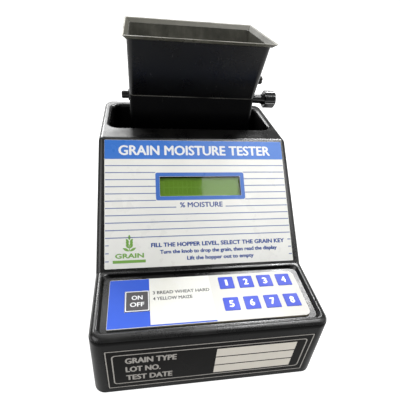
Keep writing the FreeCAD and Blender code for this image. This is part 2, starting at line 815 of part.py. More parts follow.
def make_display():
    low = -d.overlay_thick - d.pane_thick
    pane = block("lcd_window", *around_view(d.pane_width, d.pane_length), (low, -d.overlay_thick))
    keep("lcd_window", group("lcd_window", pane), PANEL)

    metal = 0.4
    frame = block("bezel_block", *around_view(d.bezel_width, d.bezel_length), (module_face, bezel_face))
    inside = block("bezel_space", *around_view(d.bezel_width - 2 * metal, d.bezel_length - 2 * metal),
                   (module_face - 1, bezel_face - metal))
    opening = block("bezel_opening", *around_view(d.view_width, d.view_length), (module_face, bezel_face + 1))
    keep("lcd_bezel", cut("lcd_bezel", frame, inside, opening), PANEL)

    stack = around_view(d.bezel_width - 2 * metal - 0.4, d.bezel_length - 2 * metal - 0.4)
    glass_top = bezel_face - metal - 0.05
    glass_low = glass_top - 1.8
    keep("lcd_glass", group("lcd_glass", block("glass_plate", *stack, (glass_low, glass_top))), PANEL)
    keep("lcd_backlight", group("lcd_backlight", block(
        "light_guide", *stack, (module_face + 0.05, glass_low - 0.05))), PANEL)

    board = block("module_board", *around_view(d.module_width, d.module_length),
                  (module_face - d.circuit_board, module_face))
    holes = [rod("module_hole_%d" % index, 1.4, "z", (module_face - THROUGH, module_face + 1), spot)
             for index, spot in enumerate(module_spots())]
    keep("lcd_board", cut("lcd_board", board, *holes), PANEL)

    seat = module_face - d.circuit_board
    screws = [pan_screw("module_screw_%d" % index, "z", spot, seat, MODULE_SCREW, sign=-1)
              for index, spot in enumerate(module_spots())]
    keep("lcd_screws", group("lcd_screws", *screws), PANEL)


# ---- Keypad --------------------------------------------------------------------------------------

def key_spots():
    """The eight grain keys, row by row from the back, as (x, distance from the keypad's front edge)."""
    return [(d.first_key_x + column * d.key_pitch, d.upper_keys - row * d.row_pitch)
            for row in range(2) for column in range(4)]


def make_keypad():
    spacer_low = d.keypad_floor + d.circuit_thick
    film_low = spacer_low + d.spacer_thick
    keep("keypad_circuit", keypad_sheet("keypad_circuit", d.keypad_floor, d.circuit_thick))
    gap = d.key_gap * 2
    holes = [(d.key_width + gap, d.key_length + gap, d.key_radius + d.key_gap, x, d.keypad_front + s)
             for x, s in key_spots()]
    holes.append((d.power_width + gap, d.power_length + gap, d.key_radius + d.key_gap,
                  d.power_x, d.keypad_front + d.power_row))
    keep("keypad_spacer", keypad_sheet("keypad_spacer", spacer_low, d.spacer_thick, holes))
    keep("keypad_overlay", keypad_sheet("keypad_overlay", film_low, d.film_thick, holes))

    key_low = spacer_low + key_travel + 0.05
    key_thick = film_top + d.key_proud - key_low
    for number, (x, s) in enumerate(key_spots(), start=1):
        name = "key_%d" % number
        keep(name, key_pad(name, d.key_width, d.key_length, key_low, key_thick, x, d.keypad_front + s))
    keep("key_on_off", key_pad("key_on_off", d.power_width, d.power_length, key_low, key_thick,
                               d.power_x, d.keypad_front + d.power_row))

    label_width = d.label_right - d.label_left
    label_length = d.keypad_length - 1.5
    keep("crop_label", sheet_body("crop_label", label_width, label_length, 0.4, film_top, d.label_thick,
                                  ((d.label_left + d.label_right) / 2,
                                   d.keypad_front + 1.4 + label_length / 2)))


def keypad_sheet(name, low, thick, holes=()):
    """One layer of the keypad, with softer corners at its right end, punched where the keys stand."""
    layer = block(name + "_layer", (-d.keypad_width / 2, d.keypad_width / 2),
                  (d.keypad_front, d.keypad_front + d.keypad_length), (low, low + thick))
    sheet = round_edges(name + "_sheet", layer, [
        (lambda middle, direction: upright(middle, direction) and middle.x > 0, d.keypad_corner),
        (lambda middle, direction: upright(middle, direction) and middle.x < 0, d.keypad_left_corner)])
    if not holes:
        return sheet
    punches = new_body(name + "_punches")
    outline = new_sketch(punches, name + "_punch_outline", height=low - 1)
    for width, length, radius, x, y in holes:
        draw_rectangle(outline, width, length, radius, (x, y))
    pad(punches, name + "_punch_pad", outline, thick + 2)
    return cut(name, sheet, punches)


def key_pad(name, width, length, low, thick, x, y):
    """One key: a small pad with softened top edges."""
    body = sheet_body(name + "_body", width, length, d.key_radius, low, thick, (x, y))
    top = value_of(low) + value_of(thick)
    return round_edges(name, body, [(lambda middle, direction: abs(middle.z - top) < TINY, 0.2)])


def make_keypad_tail():
    """Flexible tail that drops from the keypad circuit, through the deck, to the main board."""
    thick = 0.3
    body = new_body("keypad_tail")
    outline = new_sketch(body, "tail_outline", "YZ_Plane", height=-17)
    front_line = [(-60.3, d.keypad_floor), (-60.3, 46), (-63.0, 36), (-63.0, board_top + 7)]
    back_line = [(y + thick, z) for y, z in reversed(front_line)]
    draw_polygon(outline, front_line + back_line)
    pad(body, "tail_pad", outline, 14.0)
    keep("keypad_tail", body)


# ---- Name plate ----------------------------------------------------------------------------------

def make_name_plate():
    high = d.plate_high - d.plate_low
    body = new_body("name_plate")
    outline = new_sketch(body, "plate_outline")
    draw_rectangle(outline, d.plate_width, high, 0.6, (0, high / 2))
    pad(body, "plate_pad", outline, d.plate_thick)
    keep("name_plate", body, Placement(
        Vector(0, value_of(front_face + d.plate_thick), value_of(d.plate_low)),
        Rotation(Vector(1, 0, 0), 90)))


# ---- Hopper --------------------------------------------------------------------------------------

def hopper_form(name, inset, bottom, top_extra):
    """The hopper's straight neck and flared bin, drawn in by an inset, with folded upright corners."""
    half = neck_half - inset
    neck = block(name + "_neck", (-half, half), (d.neck_front + inset, d.neck_back - inset),
                 (bottom, d.bend_height))
    rise = (d.mouth_height + top_extra - d.bend_height) / (d.mouth_height - d.bend_height)
    front_reach = (d.neck_front - d.mouth_front) * rise
    back_reach = (d.mouth_back - d.neck_back) * rise
    bin_part = frustum(name + "_bin", (half, d.neck_front + inset, d.neck_back - inset),
                       (half, d.neck_front - front_reach + inset, d.neck_back + back_reach - inset),
                       (d.bend_height, d.mouth_height + top_extra))
    joined = fuse(name + "_form", neck, bin_part)
    limit = value_of(half) - TINY

    def fold(middle, direction):
        return upright(middle, direction) and abs(middle.x) > limit

    return round_edges(name + "_folded", joined, [(fold, d.fold_radius - inset)])


def make_hopper():
    bottom = d.cell_seat
    wall = cut("hopper_wall", hopper_form("hopper_outer", as_size(0), bottom, as_size(0)),
               hopper_form("hopper_inner", d.sheet, bottom - 1, as_size(2)))
    half_lip = d.lip_width / 2
    drop = 0.9
    lip_outer = frustum("lip_outer", (neck_half, d.mouth_front, d.mouth_back),
                        (half_lip, d.lip_front, d.lip_back), (d.mouth_height, d.lip_height))
    lip_inner = frustum("lip_inner", (neck_half - drop, d.mouth_front + drop, d.mouth_back - drop),
                        (half_lip - drop, d.lip_front + drop, d.lip_back - drop),
                        (d.mouth_height, d.lip_height))
    lip = cut("hopper_lip", lip_outer, lip_inner)
    blank = fuse("hopper_blank", wall, lip)
    shaft_holes = [rod("shaft_hole_%d" % (side + 1), d.bush_radius, "x", span, (d.axis_y, d.axis_z))
                   for side, span in ((-1, (-neck_half - 1, -neck_inside + 1)),
                                      (1, (neck_inside - 1, neck_half + 1)))]
    stop_hole = rod("stop_hole", d.stop_radius + d.running_gap, "x", (neck_inside - 1, neck_half + 1),
                    (d.stop_y, d.stop_z))
    keep("hopper_shell", cut("hopper_shell", blank, stop_hole, *shaft_holes))


def make_bushes():
    for side, label in ((-1, "bush_left"), (1, "bush_right")):
        spigot = (neck_inside, neck_half) if side > 0 else (-neck_half, -neck_inside)
        flange = ((neck_half, neck_half + d.flange_thick) if side > 0
                  else (-neck_half - d.flange_thick, -neck_half))
        at = (d.axis_y, d.axis_z)
        solid = fuse(label + "_solid", rod(label + "_spigot", d.bush_radius, "x", spigot, at),
                     rod(label + "_flange", d.flange_radius, "x", flange, at))
        reach = (neck_inside - 1, neck_half + THROUGH) if side > 0 else (-neck_half - THROUGH, -neck_inside + 1)
        bore = rod(label + "_bore", d.shaft_radius + d.running_gap, "x", reach, at)
        keep(label, cut(label, solid, bore))


def make_stop():
    at = (d.stop_y, d.stop_z)
    seat = neck_half + 4.9
    screw = pan_screw("stop_blank", "x", at, seat, STOP_SCREW)
    top = value_of(seat + STOP_SCREW.head_height)

    def dome(middle, direction):
        return abs(middle.x - top) < TINY

    domed = round_edges("stop_domed", screw, [(dome, 1.6)])
    slot = block("stop_slot", (seat + 3.2, seat + THROUGH), (d.stop_y - THROUGH, d.stop_y + THROUGH),
                 (d.stop_z - 0.5, d.stop_z + 0.5))
    keep("stop_screw", cut("stop_screw", domed, slot))
    nut = hexagon("nut_blank", 7.0, (neck_half + 0.02, neck_half + 3.2), at, "x")
    bore = rod("nut_bore", d.stop_radius + d.running_gap, "x", (neck_half - 1, neck_half + THROUGH), at)
    keep("stop_lock_nut", cut("stop_lock_nut", nut, bore))


# ---- Trap flap and shaft -------------------------------------------------------------------------

def make_flap():
    width = 2 * (neck_inside - d.flap_gap)
    length = d.neck_back - d.neck_front - 2 * d.sheet - 2 * d.flap_gap
    plate = sheet_body("flap_plate", width, length, d.fold_radius, d.axis_z - d.flap_thick / 2,
                       d.flap_thick, (0, d.axis_y))
    half_barrel = neck_inside - 0.6
    at = (d.axis_y, d.axis_z)
    barrel = rod("flap_barrel", d.barrel_radius, "x", (-half_barrel, half_barrel), at)
    bore = rod("flap_bore", d.shaft_radius, "x", (-half_barrel - 2, half_barrel + 2), at)
    grub_x, grub_radius = 30, 1.25
    threads = [rod("flap_thread_%d" % (side + 1), grub_radius, "z", (d.axis_z - 6, d.axis_z - 1),
                   (side * grub_x, d.axis_y)) for side in (-1, 1)]
    keep("trap_flap", cut("trap_flap", fuse("flap_solid", plate, barrel), bore, *threads))
    screws = []
    for side in (-1, 1):
        low, high = d.axis_z - d.barrel_radius - 0.8, d.axis_z - d.shaft_radius
        grub = rod("grub_%d" % (side + 1), grub_radius, "z", (low, high), (side * grub_x, d.axis_y))
        socket = hexagon("grub_socket_%d" % (side + 1), grub_radius, (low - 1, low + 0.9),
                         (side * grub_x, d.axis_y))
        screws.append(cut("flap_screw_%d" % (side + 1), grub, socket))
    keep("flap_screws", group("flap_screws", *screws))


def make_shaft():
    at = (d.axis_y, d.axis_z)
    shaft = rod("shaft_rod", d.shaft_radius, "x", (d.cap_end + 0.8, d.knob_start + 5), at)
    keep("flap_shaft", group("flap_shaft", shaft))
    inner_face = -neck_half - d.flange_thick - 0.2
    cap = rod("cap_blank", d.cap_radius, "x", (d.cap_end, inner_face), at)
    end = value_of(d.cap_end)
    soft = round_edges("cap_soft", cap, [(lambda middle, direction: abs(middle.x - end) < TINY, 1.0)])
    bore = rod("cap_bore", d.shaft_radius, "x", (d.cap_end + 0.8, inner_face + 1), at)
    keep("shaft_end_cap", cut("shaft_end_cap", soft, bore))


def make_knob():
    """Fluted knob with a flared stem, turned about the shaft's axis and grooved around its rim."""
    start = neck_half + d.flange_thick + 0.2
    edge, soft = 1.2, 0.5
    flare_start, flare, neck_swell = 3.0, 1.6, 0.3
    flute_radius, flute_offset, flutes = 1.9, 0.9, 8
    stem, head = d.stem_radius, d.knob_radius
    bore, bore_end = d.shaft_radius + TINY, d.knob_start + 5
    body = new_body("flap_knob")
    outline = new_sketch(body, "knob_outline", "XY_Plane")
    draw_polygon(outline, [(start, bore), (start, stem), (d.knob_start - flare_start, stem + neck_swell),
                           (d.knob_start, stem + flare), (d.knob_start, head - soft),
                           (d.knob_start + soft, head), (d.knob_end - edge, head),
                           (d.knob_end, head - edge), (d.knob_end, 0), (bore_end, 0), (bore_end, bore)])
    spin(body, "knob_turning", outline, "H_Axis")
    flute = new_sketch(body, "flute_outline", "YZ_Plane", height=d.knob_start - 1)
    draw_circle(flute, flute_radius, (d.knob_radius + flute_offset, 0))
    groove = pocket_up(body, "knob_flute", flute, d.knob_end - d.knob_start + 2)
    ring = body.newObject("PartDesign::PolarPattern", "knob_flutes")
    ring.Originals = [groove]
    ring.Axis = (next(part for part in body.Origin.OriginFeatures if part.Role == "X_Axis"), [""])
    ring.Angle = 360
    ring.Occurrences = flutes
    body.Tip = ring
    keep("flap_knob", body)
    put(body, 0, d.axis_y, d.axis_z)


# ---- Measuring cell ------------------------------------------------------------------------------

def cell_screw_spots():
    return [(x, y) for x in (-44, 44) for y in (61, 84)]


def lead_gate():
    """Where the electrode leads pass through the cell's floor and the well's floor."""
    return (-22, d.axis_y)


def make_cell():
    half = d.cell_width / 2
    seat_half = neck_half + 0.4
    outside = round_edges("cell_outside", block(
        "cell_block", (-half, half), (d.cell_front, d.cell_back), (d.well_floor, d.cell_top)),
        [(upright, 5.0)])
    socket = round_edges("cell_socket", block(
        "cell_socket_block", (-seat_half, seat_half), (d.neck_front - 0.4, d.neck_back + 0.4),
        (d.cell_seat, d.cell_top + 1)), [(upright, d.fold_radius)])
    inside_y = (d.cell_front + d.cell_wall, d.cell_back - d.cell_wall)
    space = round_edges("cell_space", block(
        "cell_space_block", (-half + d.cell_wall, half - d.cell_wall), inside_y,
        (d.cell_floor, d.cell_top)), [(upright, 3.0)])
    plate_x = (-46, 46)
    plate_z = (d.cell_floor + 3, d.cell_seat - 3)
    spans = {"electrode_front": (inside_y[0] - d.electrode_thick, inside_y[0]),
             "electrode_rear": (inside_y[1], inside_y[1] + d.electrode_thick)}
    pockets = [block(name + "_pocket", plate_x, (low - TINY, high + TINY), plate_z)
               for name, (low, high) in spans.items()]
    holes = []
    for index, spot in enumerate(cell_screw_spots()):
        holes.append(rod("cell_hole_%d" % index, 1.6, "z", (d.well_floor - 1, d.cell_floor + 1), spot))
        holes.append(rod("cell_counterbore_%d" % index, 3.2, "z", (d.cell_floor - 2.2, d.cell_floor + 1), spot))
    gate = rod("cell_wire_gate", 3.2, "z", (d.well_floor - 1, d.cell_floor - 1.5), lead_gate())
    probe_hole = rod("cell_probe_hole", 2.05, "z", (d.well_floor - 1, d.cell_floor + 1), probe_spot())
    keep("cell_body", cut("cell_body", outside, socket, space, gate, probe_hole, *pockets, *holes))
    for name, span in spans.items():
        keep(name, group(name, block(name + "_plate", plate_x, span, plate_z)))

    screws = []
    seat = d.cell_floor - 2.2
    for index, spot in enumerate(cell_screw_spots()):
        screw = pan_screw("cell_screw_%d" % index, "z", spot, seat, CELL_SCREW)
        face = seat + CELL_SCREW.head_height
        screws.append(cut_cross("cell_screw_driven_%d" % index, screw, *spot, face, -1))
    keep("cell_screws", group("cell_screws", *screws))


def probe_spot():
    return (30, d.axis_y)


def make_thermistor():
    """Temperature probe: a dome-ended metal tip that stands up from the cell's floor."""
    stem = rod("probe_stem", 2.0, "z", (d.well_floor + 0.5, d.cell_floor + 8), probe_spot())
    tip = value_of(d.cell_floor) + 8
    keep("thermistor_probe", round_edges("thermistor_probe", stem, [
        (lambda middle, direction: abs(middle.z - tip) < TINY, 1.8)]))


# ---- Electronics ---------------------------------------------------------------------------------

def board_spots():
    return [(x, y) for x in (-d.board_hole_x, d.board_hole_x)
            for y in (d.board_front + d.board_hole_inset, d.board_back - d.board_hole_inset)]


def make_main_board():
    half = d.board_width / 2
    board = block("board_plate", (-half, half), (d.board_front, d.board_back), (d.board_low, board_top))
    holes = [rod("board_hole_%d" % index, 1.6, "z", (d.board_low - 1, board_top + 1), spot)
             for index, spot in enumerate(board_spots())]
    keep("main_board", cut("main_board", board, *holes))
    posts, screws = [], []
    for index, spot in enumerate(board_spots()):
        post = hexagon("post_%d" % index, 5.5, (base_top, d.board_low), spot)
        bore = rod("post_bore_%d" % index, 1.5, "z", (d.board_low - 5, d.board_low + 1), spot)
        posts.append(cut("board_post_%d" % index, post, bore))
        screws.append(pan_screw("board_screw_%d" % index, "z", spot, board_top, BOARD_SCREW))
    keep("board_standoffs", group("board_standoffs", *posts))
    keep("board_screws", group("board_screws", *screws))

    keep("board_components", group("board_components", *board_components()))


# Rectangular components on the main board: x span, y span, and height span above the board
BOARD_BLOCKS = {
    "controller_chip": ((-26, 26), (-84, -70), (1, 5)),
    "memory_chip": ((32, 42), (-80, -73), (1, 4.4)),
    "regulator": ((44, 54), (-48, -43.5), (0, 15)),
    "crystal": ((-44, -33), (-79, -74.5), (0, 3.5)),
    "display_header": ((-20, 20), (-40, -35), (0, 6)),
    "cell_terminal": ((-46, -34), (-36, -28), (0, 9)),
    "power_header": ((28, 38), (-34, -28), (0, 7)),
    "calibration_trimmer": ((6, 15.5), (-56, -46.5), (0, 5)),
}

# Round components on the main board: radius, height and place
BOARD_CANS = {
    "smoothing_capacitor": (5, 12, (30, -50)),
    "small_capacitor": (3.2, 8, (-34, -54)),
    "buzzer": (6, 8.5, (-50, -60)),
}


def board_components():
    parts = [block(name, x, y, (board_top + z[0], board_top + z[1]))
             for name, (x, y, z) in BOARD_BLOCKS.items()]
    parts += [rod(name, radius, "z", (board_top, board_top + height), at)
              for name, (radius, height, at) in BOARD_CANS.items()]
    socket = block("keypad_socket", (-19, -1), (-66, -60), (board_top, board_top + 6.5))
    slot = block("keypad_socket_slot", (-17.2, -2.8), (-63.2, -62.5), (board_top + 3, board_top + 8))
    return parts + [cut("keypad_socket_slotted", socket, slot)]


def make_display_ribbon():
    """Flat ribbon from the display board down to the main board's header."""
    thick = 0.9
    body = new_body("display_ribbon")
    outline = new_sketch(body, "ribbon_outline", "YZ_Plane", height=-18)
    front_line = [(-13.4, 82.5), (-26, 66), (-37.95, 44), (-37.95, board_top + 6)]
    back_line = [(y + thick, z) for y, z in reversed(front_line)]
    draw_polygon(outline, front_line + back_line)
    pad(body, "ribbon_pad", outline, 36.0)
    keep("display_ribbon", body)


def lead_shape(points, bend, radius):
    """A round wire along straight runs joined by tangent arcs."""
    spots = [Vector(*(value_of(number) for number in point)) for point in points]
    edges = []
    here = spots[0]
    for before, corner, after in zip(spots, spots[1:], spots[2:]):
        inward = (before - corner).normalize()
        outward = (after - corner).normalize()
        half_angle = inward.getAngle(outward) / 2
        tangent = bend / math.tan(half_angle)
        start = corner + inward * tangent
        end = corner + outward * tangent
        to_centre = (inward + outward).normalize() * (bend / math.sin(half_angle))
        crown = corner + to_centre - (to_centre.normalize() * bend)
        edges.append(Part.LineSegment(here, start).toShape())
        edges.append(Part.Arc(start, crown, end).toShape())
        here = end
    edges.append(Part.LineSegment(here, spots[-1]).toShape())
    path = Part.Wire(edges)
    run = spots[1] - spots[0]
    ring = Part.Wire(Part.Circle(spots[0], run, radius).toShape())
    return path.makePipeShell([ring], True, False)


def make_leads():
    """Pairs of insulated wires: electrodes to board, and batteries to board."""
    wire = 0.75
    cell_x, cell_y = lead_gate()
    gate_x, gate_z = d.battery_gate_x, d.battery_height + 3.3
    pairs = {
        "cell_leads": [[(cell_x + side, cell_y, 45), (cell_x + side, cell_y, 31),
                        (cell_x + side - 10, 14, 31), (-40 + side, -14, 31), (-40 + side, -32, 30),
                        (-40 + side, -32, board_top + 9)] for side in (-1.2, 1.2)],
        "battery_leads": [[(gate_x + side * 0.7, 42, gate_z), (gate_x + side * 0.7, 20, gate_z),
                           (33 + side, 0, 20), (33 + side, -31, 29), (33 + side, -31, board_top + 7)]
                          for side in (-1.2, 1.2)],
    }
    for label, routes in pairs.items():
        wires = []
        for index, route in enumerate(routes):
            feature = doc.addObject("Part::Feature", "%s_%d" % (label, index))
            feature.Shape = lead_shape(route, 4.0, wire)
            wires.append(feature)
        keep(label, group(label, *wires))


def make_dc_jack():
    """Socket for a plug-in power adaptor, behind a round hole in the rear wall."""
    x, z = d.jack_x, d.jack_z
    mouth = back_face - d.wall + 1.6
    body = block("jack_block", (x - 5.5, x + 5.5), (back_face - 16, back_face - d.wall - 0.05), (z - 6, z + 6))
    nose = rod("jack_nose", d.jack_nose, "y", (back_face - d.wall - 1, mouth), (x, z))
    bore = rod("jack_bore", 3.1, "y", (back_face - 13, back_face + 1), (x, z))
    pin = rod("jack_pin", 1.05, "y", (back_face - 14, mouth - 1), (x, z))
    keep("dc_jack", fuse("dc_jack", cut("jack_shell", fuse("jack_solid", body, nose), bore), pin))


# ---- Build, check and write ----------------------------------------------------------------------

def check_document():
    """Stop if any object failed to compute, or any sub-part isn't a sound solid."""
    for item in doc.Objects:
        failed = [state for state in item.State if state in ("Invalid", "Error")]
        if failed:
            raise RuntimeError("%s (%s) is %s" % (item.Name, item.Label, failed))
    for label, item in nodes.items():
        shape = item.Shape
        if shape.isNull() or not shape.isValid() or not shape.Solids:
            raise RuntimeError("%s has no sound solid" % label)


def write_parts():
    os.makedirs("parts", exist_ok=True)
    for label, item in nodes.items():
        item.Shape.exportStep("parts/%s.step" % label)
        box = item.Shape.BoundBox
        print("%-18s %2d solids  %9.1f mm3  x %7.2f %7.2f  y %8.2f %8.2f  z %7.2f %7.2f" % (
            label, len(item.Shape.Solids), item.Shape.Volume, box.XMin, box.XMax, box.YMin, box.YMax,
            box.ZMin, box.ZMax))


make_housing()
make_base_plate()
make_base_screws()
make_rubber_feet()
make_battery_compartment()
make_batteries()
make_panel_overlay()
make_display()
make_keypad()
make_keypad_tail()
make_name_plate()
make_hopper()
make_bushes()
make_stop()
make_flap()
make_shaft()
make_knob()
make_cell()
make_thermistor()
make_main_board()
make_display_ribbon()
make_leads()
make_dc_jack()
doc.recompute()
check_document()
write_parts()
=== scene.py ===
import math

import bmesh
import bpy
from mathutils import Matrix, Vector


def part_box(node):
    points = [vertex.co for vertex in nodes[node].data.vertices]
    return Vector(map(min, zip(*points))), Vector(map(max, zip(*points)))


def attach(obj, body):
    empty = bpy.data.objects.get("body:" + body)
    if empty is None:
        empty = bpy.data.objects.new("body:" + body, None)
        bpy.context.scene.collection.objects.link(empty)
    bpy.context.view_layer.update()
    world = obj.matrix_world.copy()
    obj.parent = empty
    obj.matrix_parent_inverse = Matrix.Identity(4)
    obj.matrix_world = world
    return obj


# Looks of the grain moisture meter. Metres, in the CAD model's frame: X right, Y back, Z up.
# Lengths written times MM are millimetres. Print is laid out in millimetres on its own face.

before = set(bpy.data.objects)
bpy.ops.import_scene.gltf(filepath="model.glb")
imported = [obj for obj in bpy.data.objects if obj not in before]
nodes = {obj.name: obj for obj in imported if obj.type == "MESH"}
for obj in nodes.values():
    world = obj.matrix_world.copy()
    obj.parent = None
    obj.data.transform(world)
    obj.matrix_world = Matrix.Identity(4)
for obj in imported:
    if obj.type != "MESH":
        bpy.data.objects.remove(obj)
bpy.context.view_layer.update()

MM = 0.001


# ---- Places --------------------------------------------------------------------------------------

PANEL_ANGLE = math.radians(41.5)
FILM_THICK = 0.5 * MM


def panel_frame():
    """Matrix from the panel's (x, up the slope, out of the face) to the row frame."""
    low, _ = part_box("panel_overlay")
    origin = Vector((0, low.y, low.z + FILM_THICK * math.cos(PANEL_ANGLE)))
    return Matrix.Translation(origin) @ Matrix.Rotation(PANEL_ANGLE, 4, "X")


def top_frame(node):
    """Matrix from (x, back, up) counted from a flat node's front edge, on its top face."""
    low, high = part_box(node)
    return Matrix.Translation(Vector((0, low.y, high.z)))


def top_centre(node):
    """Matrix from (x, back, up) counted from the middle of a flat node's top face."""
    low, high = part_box(node)
    return Matrix.Translation(Vector(((low.x + high.x) / 2, (low.y + high.y) / 2, high.z)))


def plate_frame():
    """Matrix from the name plate's (x, up, out) to the row frame, from its lower edge."""
    low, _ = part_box("name_plate")
    return Matrix.Translation(Vector((0, low.y, low.z))) @ Matrix.Rotation(math.radians(90), 4, "X")


# The hopper's middle in Y, the bend between its neck and its funnel, and its highest edge.
AXIS_Y = 72.5 * MM
BEND_Z = 152.0 * MM
LIP_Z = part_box("hopper_shell")[1].z

# The housing's steep faces below the deck, or further out than these, are its outer walls.
DECK_Z = 58.9 * MM
OUTER_X = 70.0 * MM
OUTER_Y = 105.0 * MM
WALL_RISE = 0.5

PANEL = panel_frame()
KEYPAD = top_frame("keypad_overlay")
PLATE = plate_frame()


# ---- Material helpers ----------------------------------------------------------------------------

# The colour sockets of a Mix node, which share their names with its other sockets.
MIX_COLOR_A = 6
MIX_COLOR_B = 7
MIX_COLOR_RESULT = 2


class Look:
    """A Principled material under construction, with short calls for the nodes that it needs."""

    def __init__(self, name, color, roughness, **sockets):
        self.material = bpy.data.materials.new(name)
        self.material.use_nodes = True
        self.tree = self.material.node_tree
        self.shader = self.tree.nodes["Principled BSDF"]
        self.shader.inputs["Base Color"].default_value = (*color, 1)
        self.shader.inputs["Roughness"].default_value = roughness
        for socket, value in sockets.items():
            self.shader.inputs[socket.replace("_", " ")].default_value = value
        self.place = self.node("ShaderNodeTexCoord").outputs["Object"]

    def node(self, kind, **settings):
        made = self.tree.nodes.new(kind)
        for name, value in settings.items():
            setattr(made, name, value)
        return made

    def link(self, output, target):
        self.tree.links.new(output, target)

    def stretched(self, scale):
        """Object coordinates scaled along each axis, for a texture with a direction."""
        mapping = self.node("ShaderNodeMapping")
        mapping.inputs["Scale"].default_value = scale
        self.link(self.place, mapping.inputs["Vector"])
        return mapping.outputs["Vector"]

    def noise(self, scale, detail=3.0, roughness=0.55, place=None):
        made = self.node("ShaderNodeTexNoise")
        made.inputs["Scale"].default_value = scale
        made.inputs["Detail"].default_value = detail
        made.inputs["Roughness"].default_value = roughness
        self.link(place or self.place, made.inputs["Vector"])
        return made.outputs["Fac"]

    def cells(self, scale):
        """Distance to the nearest of many scattered points, for specks."""
        made = self.node("ShaderNodeTexVoronoi", feature="F1")
        made.inputs["Scale"].default_value = scale
        self.link(self.place, made.inputs["Vector"])
        return made.outputs["Distance"]

    def remap(self, value, low, high, to_low=0.0, to_high=1.0):
        """A value carried from one range to another, and held at that range's ends."""
        made = self.node("ShaderNodeMapRange")
        self.link(value, made.inputs["Value"])
        sockets = ("From Min", "From Max", "To Min", "To Max")
        for socket, number in zip(sockets, (low, high, to_low, to_high)):
            made.inputs[socket].default_value = number
        return made.outputs["Result"]

    def math(self, operation, a, b=None):
        made = self.node("ShaderNodeMath", operation=operation)
        for socket, value in zip(made.inputs, (a, b)):
            if isinstance(value, (int, float)):
                socket.default_value = value
            elif value is not None:
                self.link(value, socket)
        return made.outputs["Value"]

    def mix(self, factor, a, b):
        """Blend two colours, each a fixed colour or another node's output."""
        made = self.node("ShaderNodeMix", data_type="RGBA")
        self.link(factor, made.inputs["Factor"])
        for index, value in ((MIX_COLOR_A, a), (MIX_COLOR_B, b)):
            if isinstance(value, tuple):
                made.inputs[index].default_value = (*value, 1)
            else:
                self.link(value, made.inputs[index])
        return made.outputs[MIX_COLOR_RESULT]

    def axis(self, letter, source=None):
        """One part of a vector: of the object coordinates, unless a source is given."""
        split = self.node("ShaderNodeSeparateXYZ")
        self.link(source or self.place, split.inputs["Vector"])
        return split.outputs[letter]

    def normal(self, letter):
        geometry = self.node("ShaderNodeNewGeometry")
        return self.axis(letter, geometry.outputs["Normal"])

    def color(self, output):
        self.link(output, self.shader.inputs["Base Color"])
        return self

    def rough(self, output):
        self.link(output, self.shader.inputs["Roughness"])
        return self

    def bump(self, heights, distance):
        """Bump from one or more (height, strength) pairs, chained."""
        normal = None
        for height, strength in heights:
            made = self.node("ShaderNodeBump")
            made.inputs["Strength"].default_value = strength
            made.inputs["Distance"].default_value = distance
            self.link(height, made.inputs["Height"])
            if normal is not None:
                self.link(normal, made.inputs["Normal"])
            normal = made.outputs["Normal"]
        self.link(normal, self.shader.inputs["Normal"])
        return self


def linear(value):
    """The linear share of light for a display value of 0 to 255, by the sRGB curve."""
    share = value / 255
    return ((share + 0.055) / 1.055) ** 2.4 if value > 10 else share / 12.92


def rgb(red, green, blue):
    """A linear colour from display values of 0 to 255."""
    return linear(red), linear(green), linear(blue)


def shaded(color, share):
    """A colour made darker by one share for all three parts."""
    return tuple(part * share for part in color)


# ---- Materials -----------------------------------------------------------------------------------

def moulded_black(name, roughness, grain, gloss, dust=0.5):
    """Injection-moulded black plastic: fine texture, flow waviness, handling marks and a little dust."""
    clean, handled, dust_grey = rgb(12, 12, 12), rgb(78, 74, 68), rgb(120, 116, 106)
    look = Look(name, rgb(14, 14, 14), roughness, Specular_IOR_Level=gloss)
    smudge = look.noise(38, 4, 0.6)
    fine = look.noise(1600, 2)
    look.rough(look.math("ADD", look.remap(smudge, 0.35, 0.7, roughness - 0.05, roughness + 0.12),
                         look.remap(fine, 0.3, 0.7, -0.03, 0.03)))
    specks = look.remap(look.cells(420), 0.0, 0.12, 1.0, 0.0)
    patch = look.remap(look.noise(55, 3), 0.55, 0.7)
    facing_up = look.remap(look.normal("Z"), 0.3, 1.0)
    dusty = look.math("MULTIPLY", look.math("MULTIPLY", specks, patch), facing_up)
    film = look.math("MULTIPLY", look.remap(smudge, 0.45, 0.75, 0.0, 0.16), facing_up)
    worn = look.mix(look.math("MULTIPLY", film, dust), clean, handled)
    look.color(look.mix(look.math("MULTIPLY", dusty, dust), worn, dust_grey))
    look.bump([(look.noise(26, 2), 0.25), (fine, grain)], 0.06 * MM)
    return look.material


# Heights over which the lip's painted highlight fades in.
LIP_FOOT = BEND_Z + 45.5 * MM
LIP_FULL = BEND_Z + 46.3 * MM


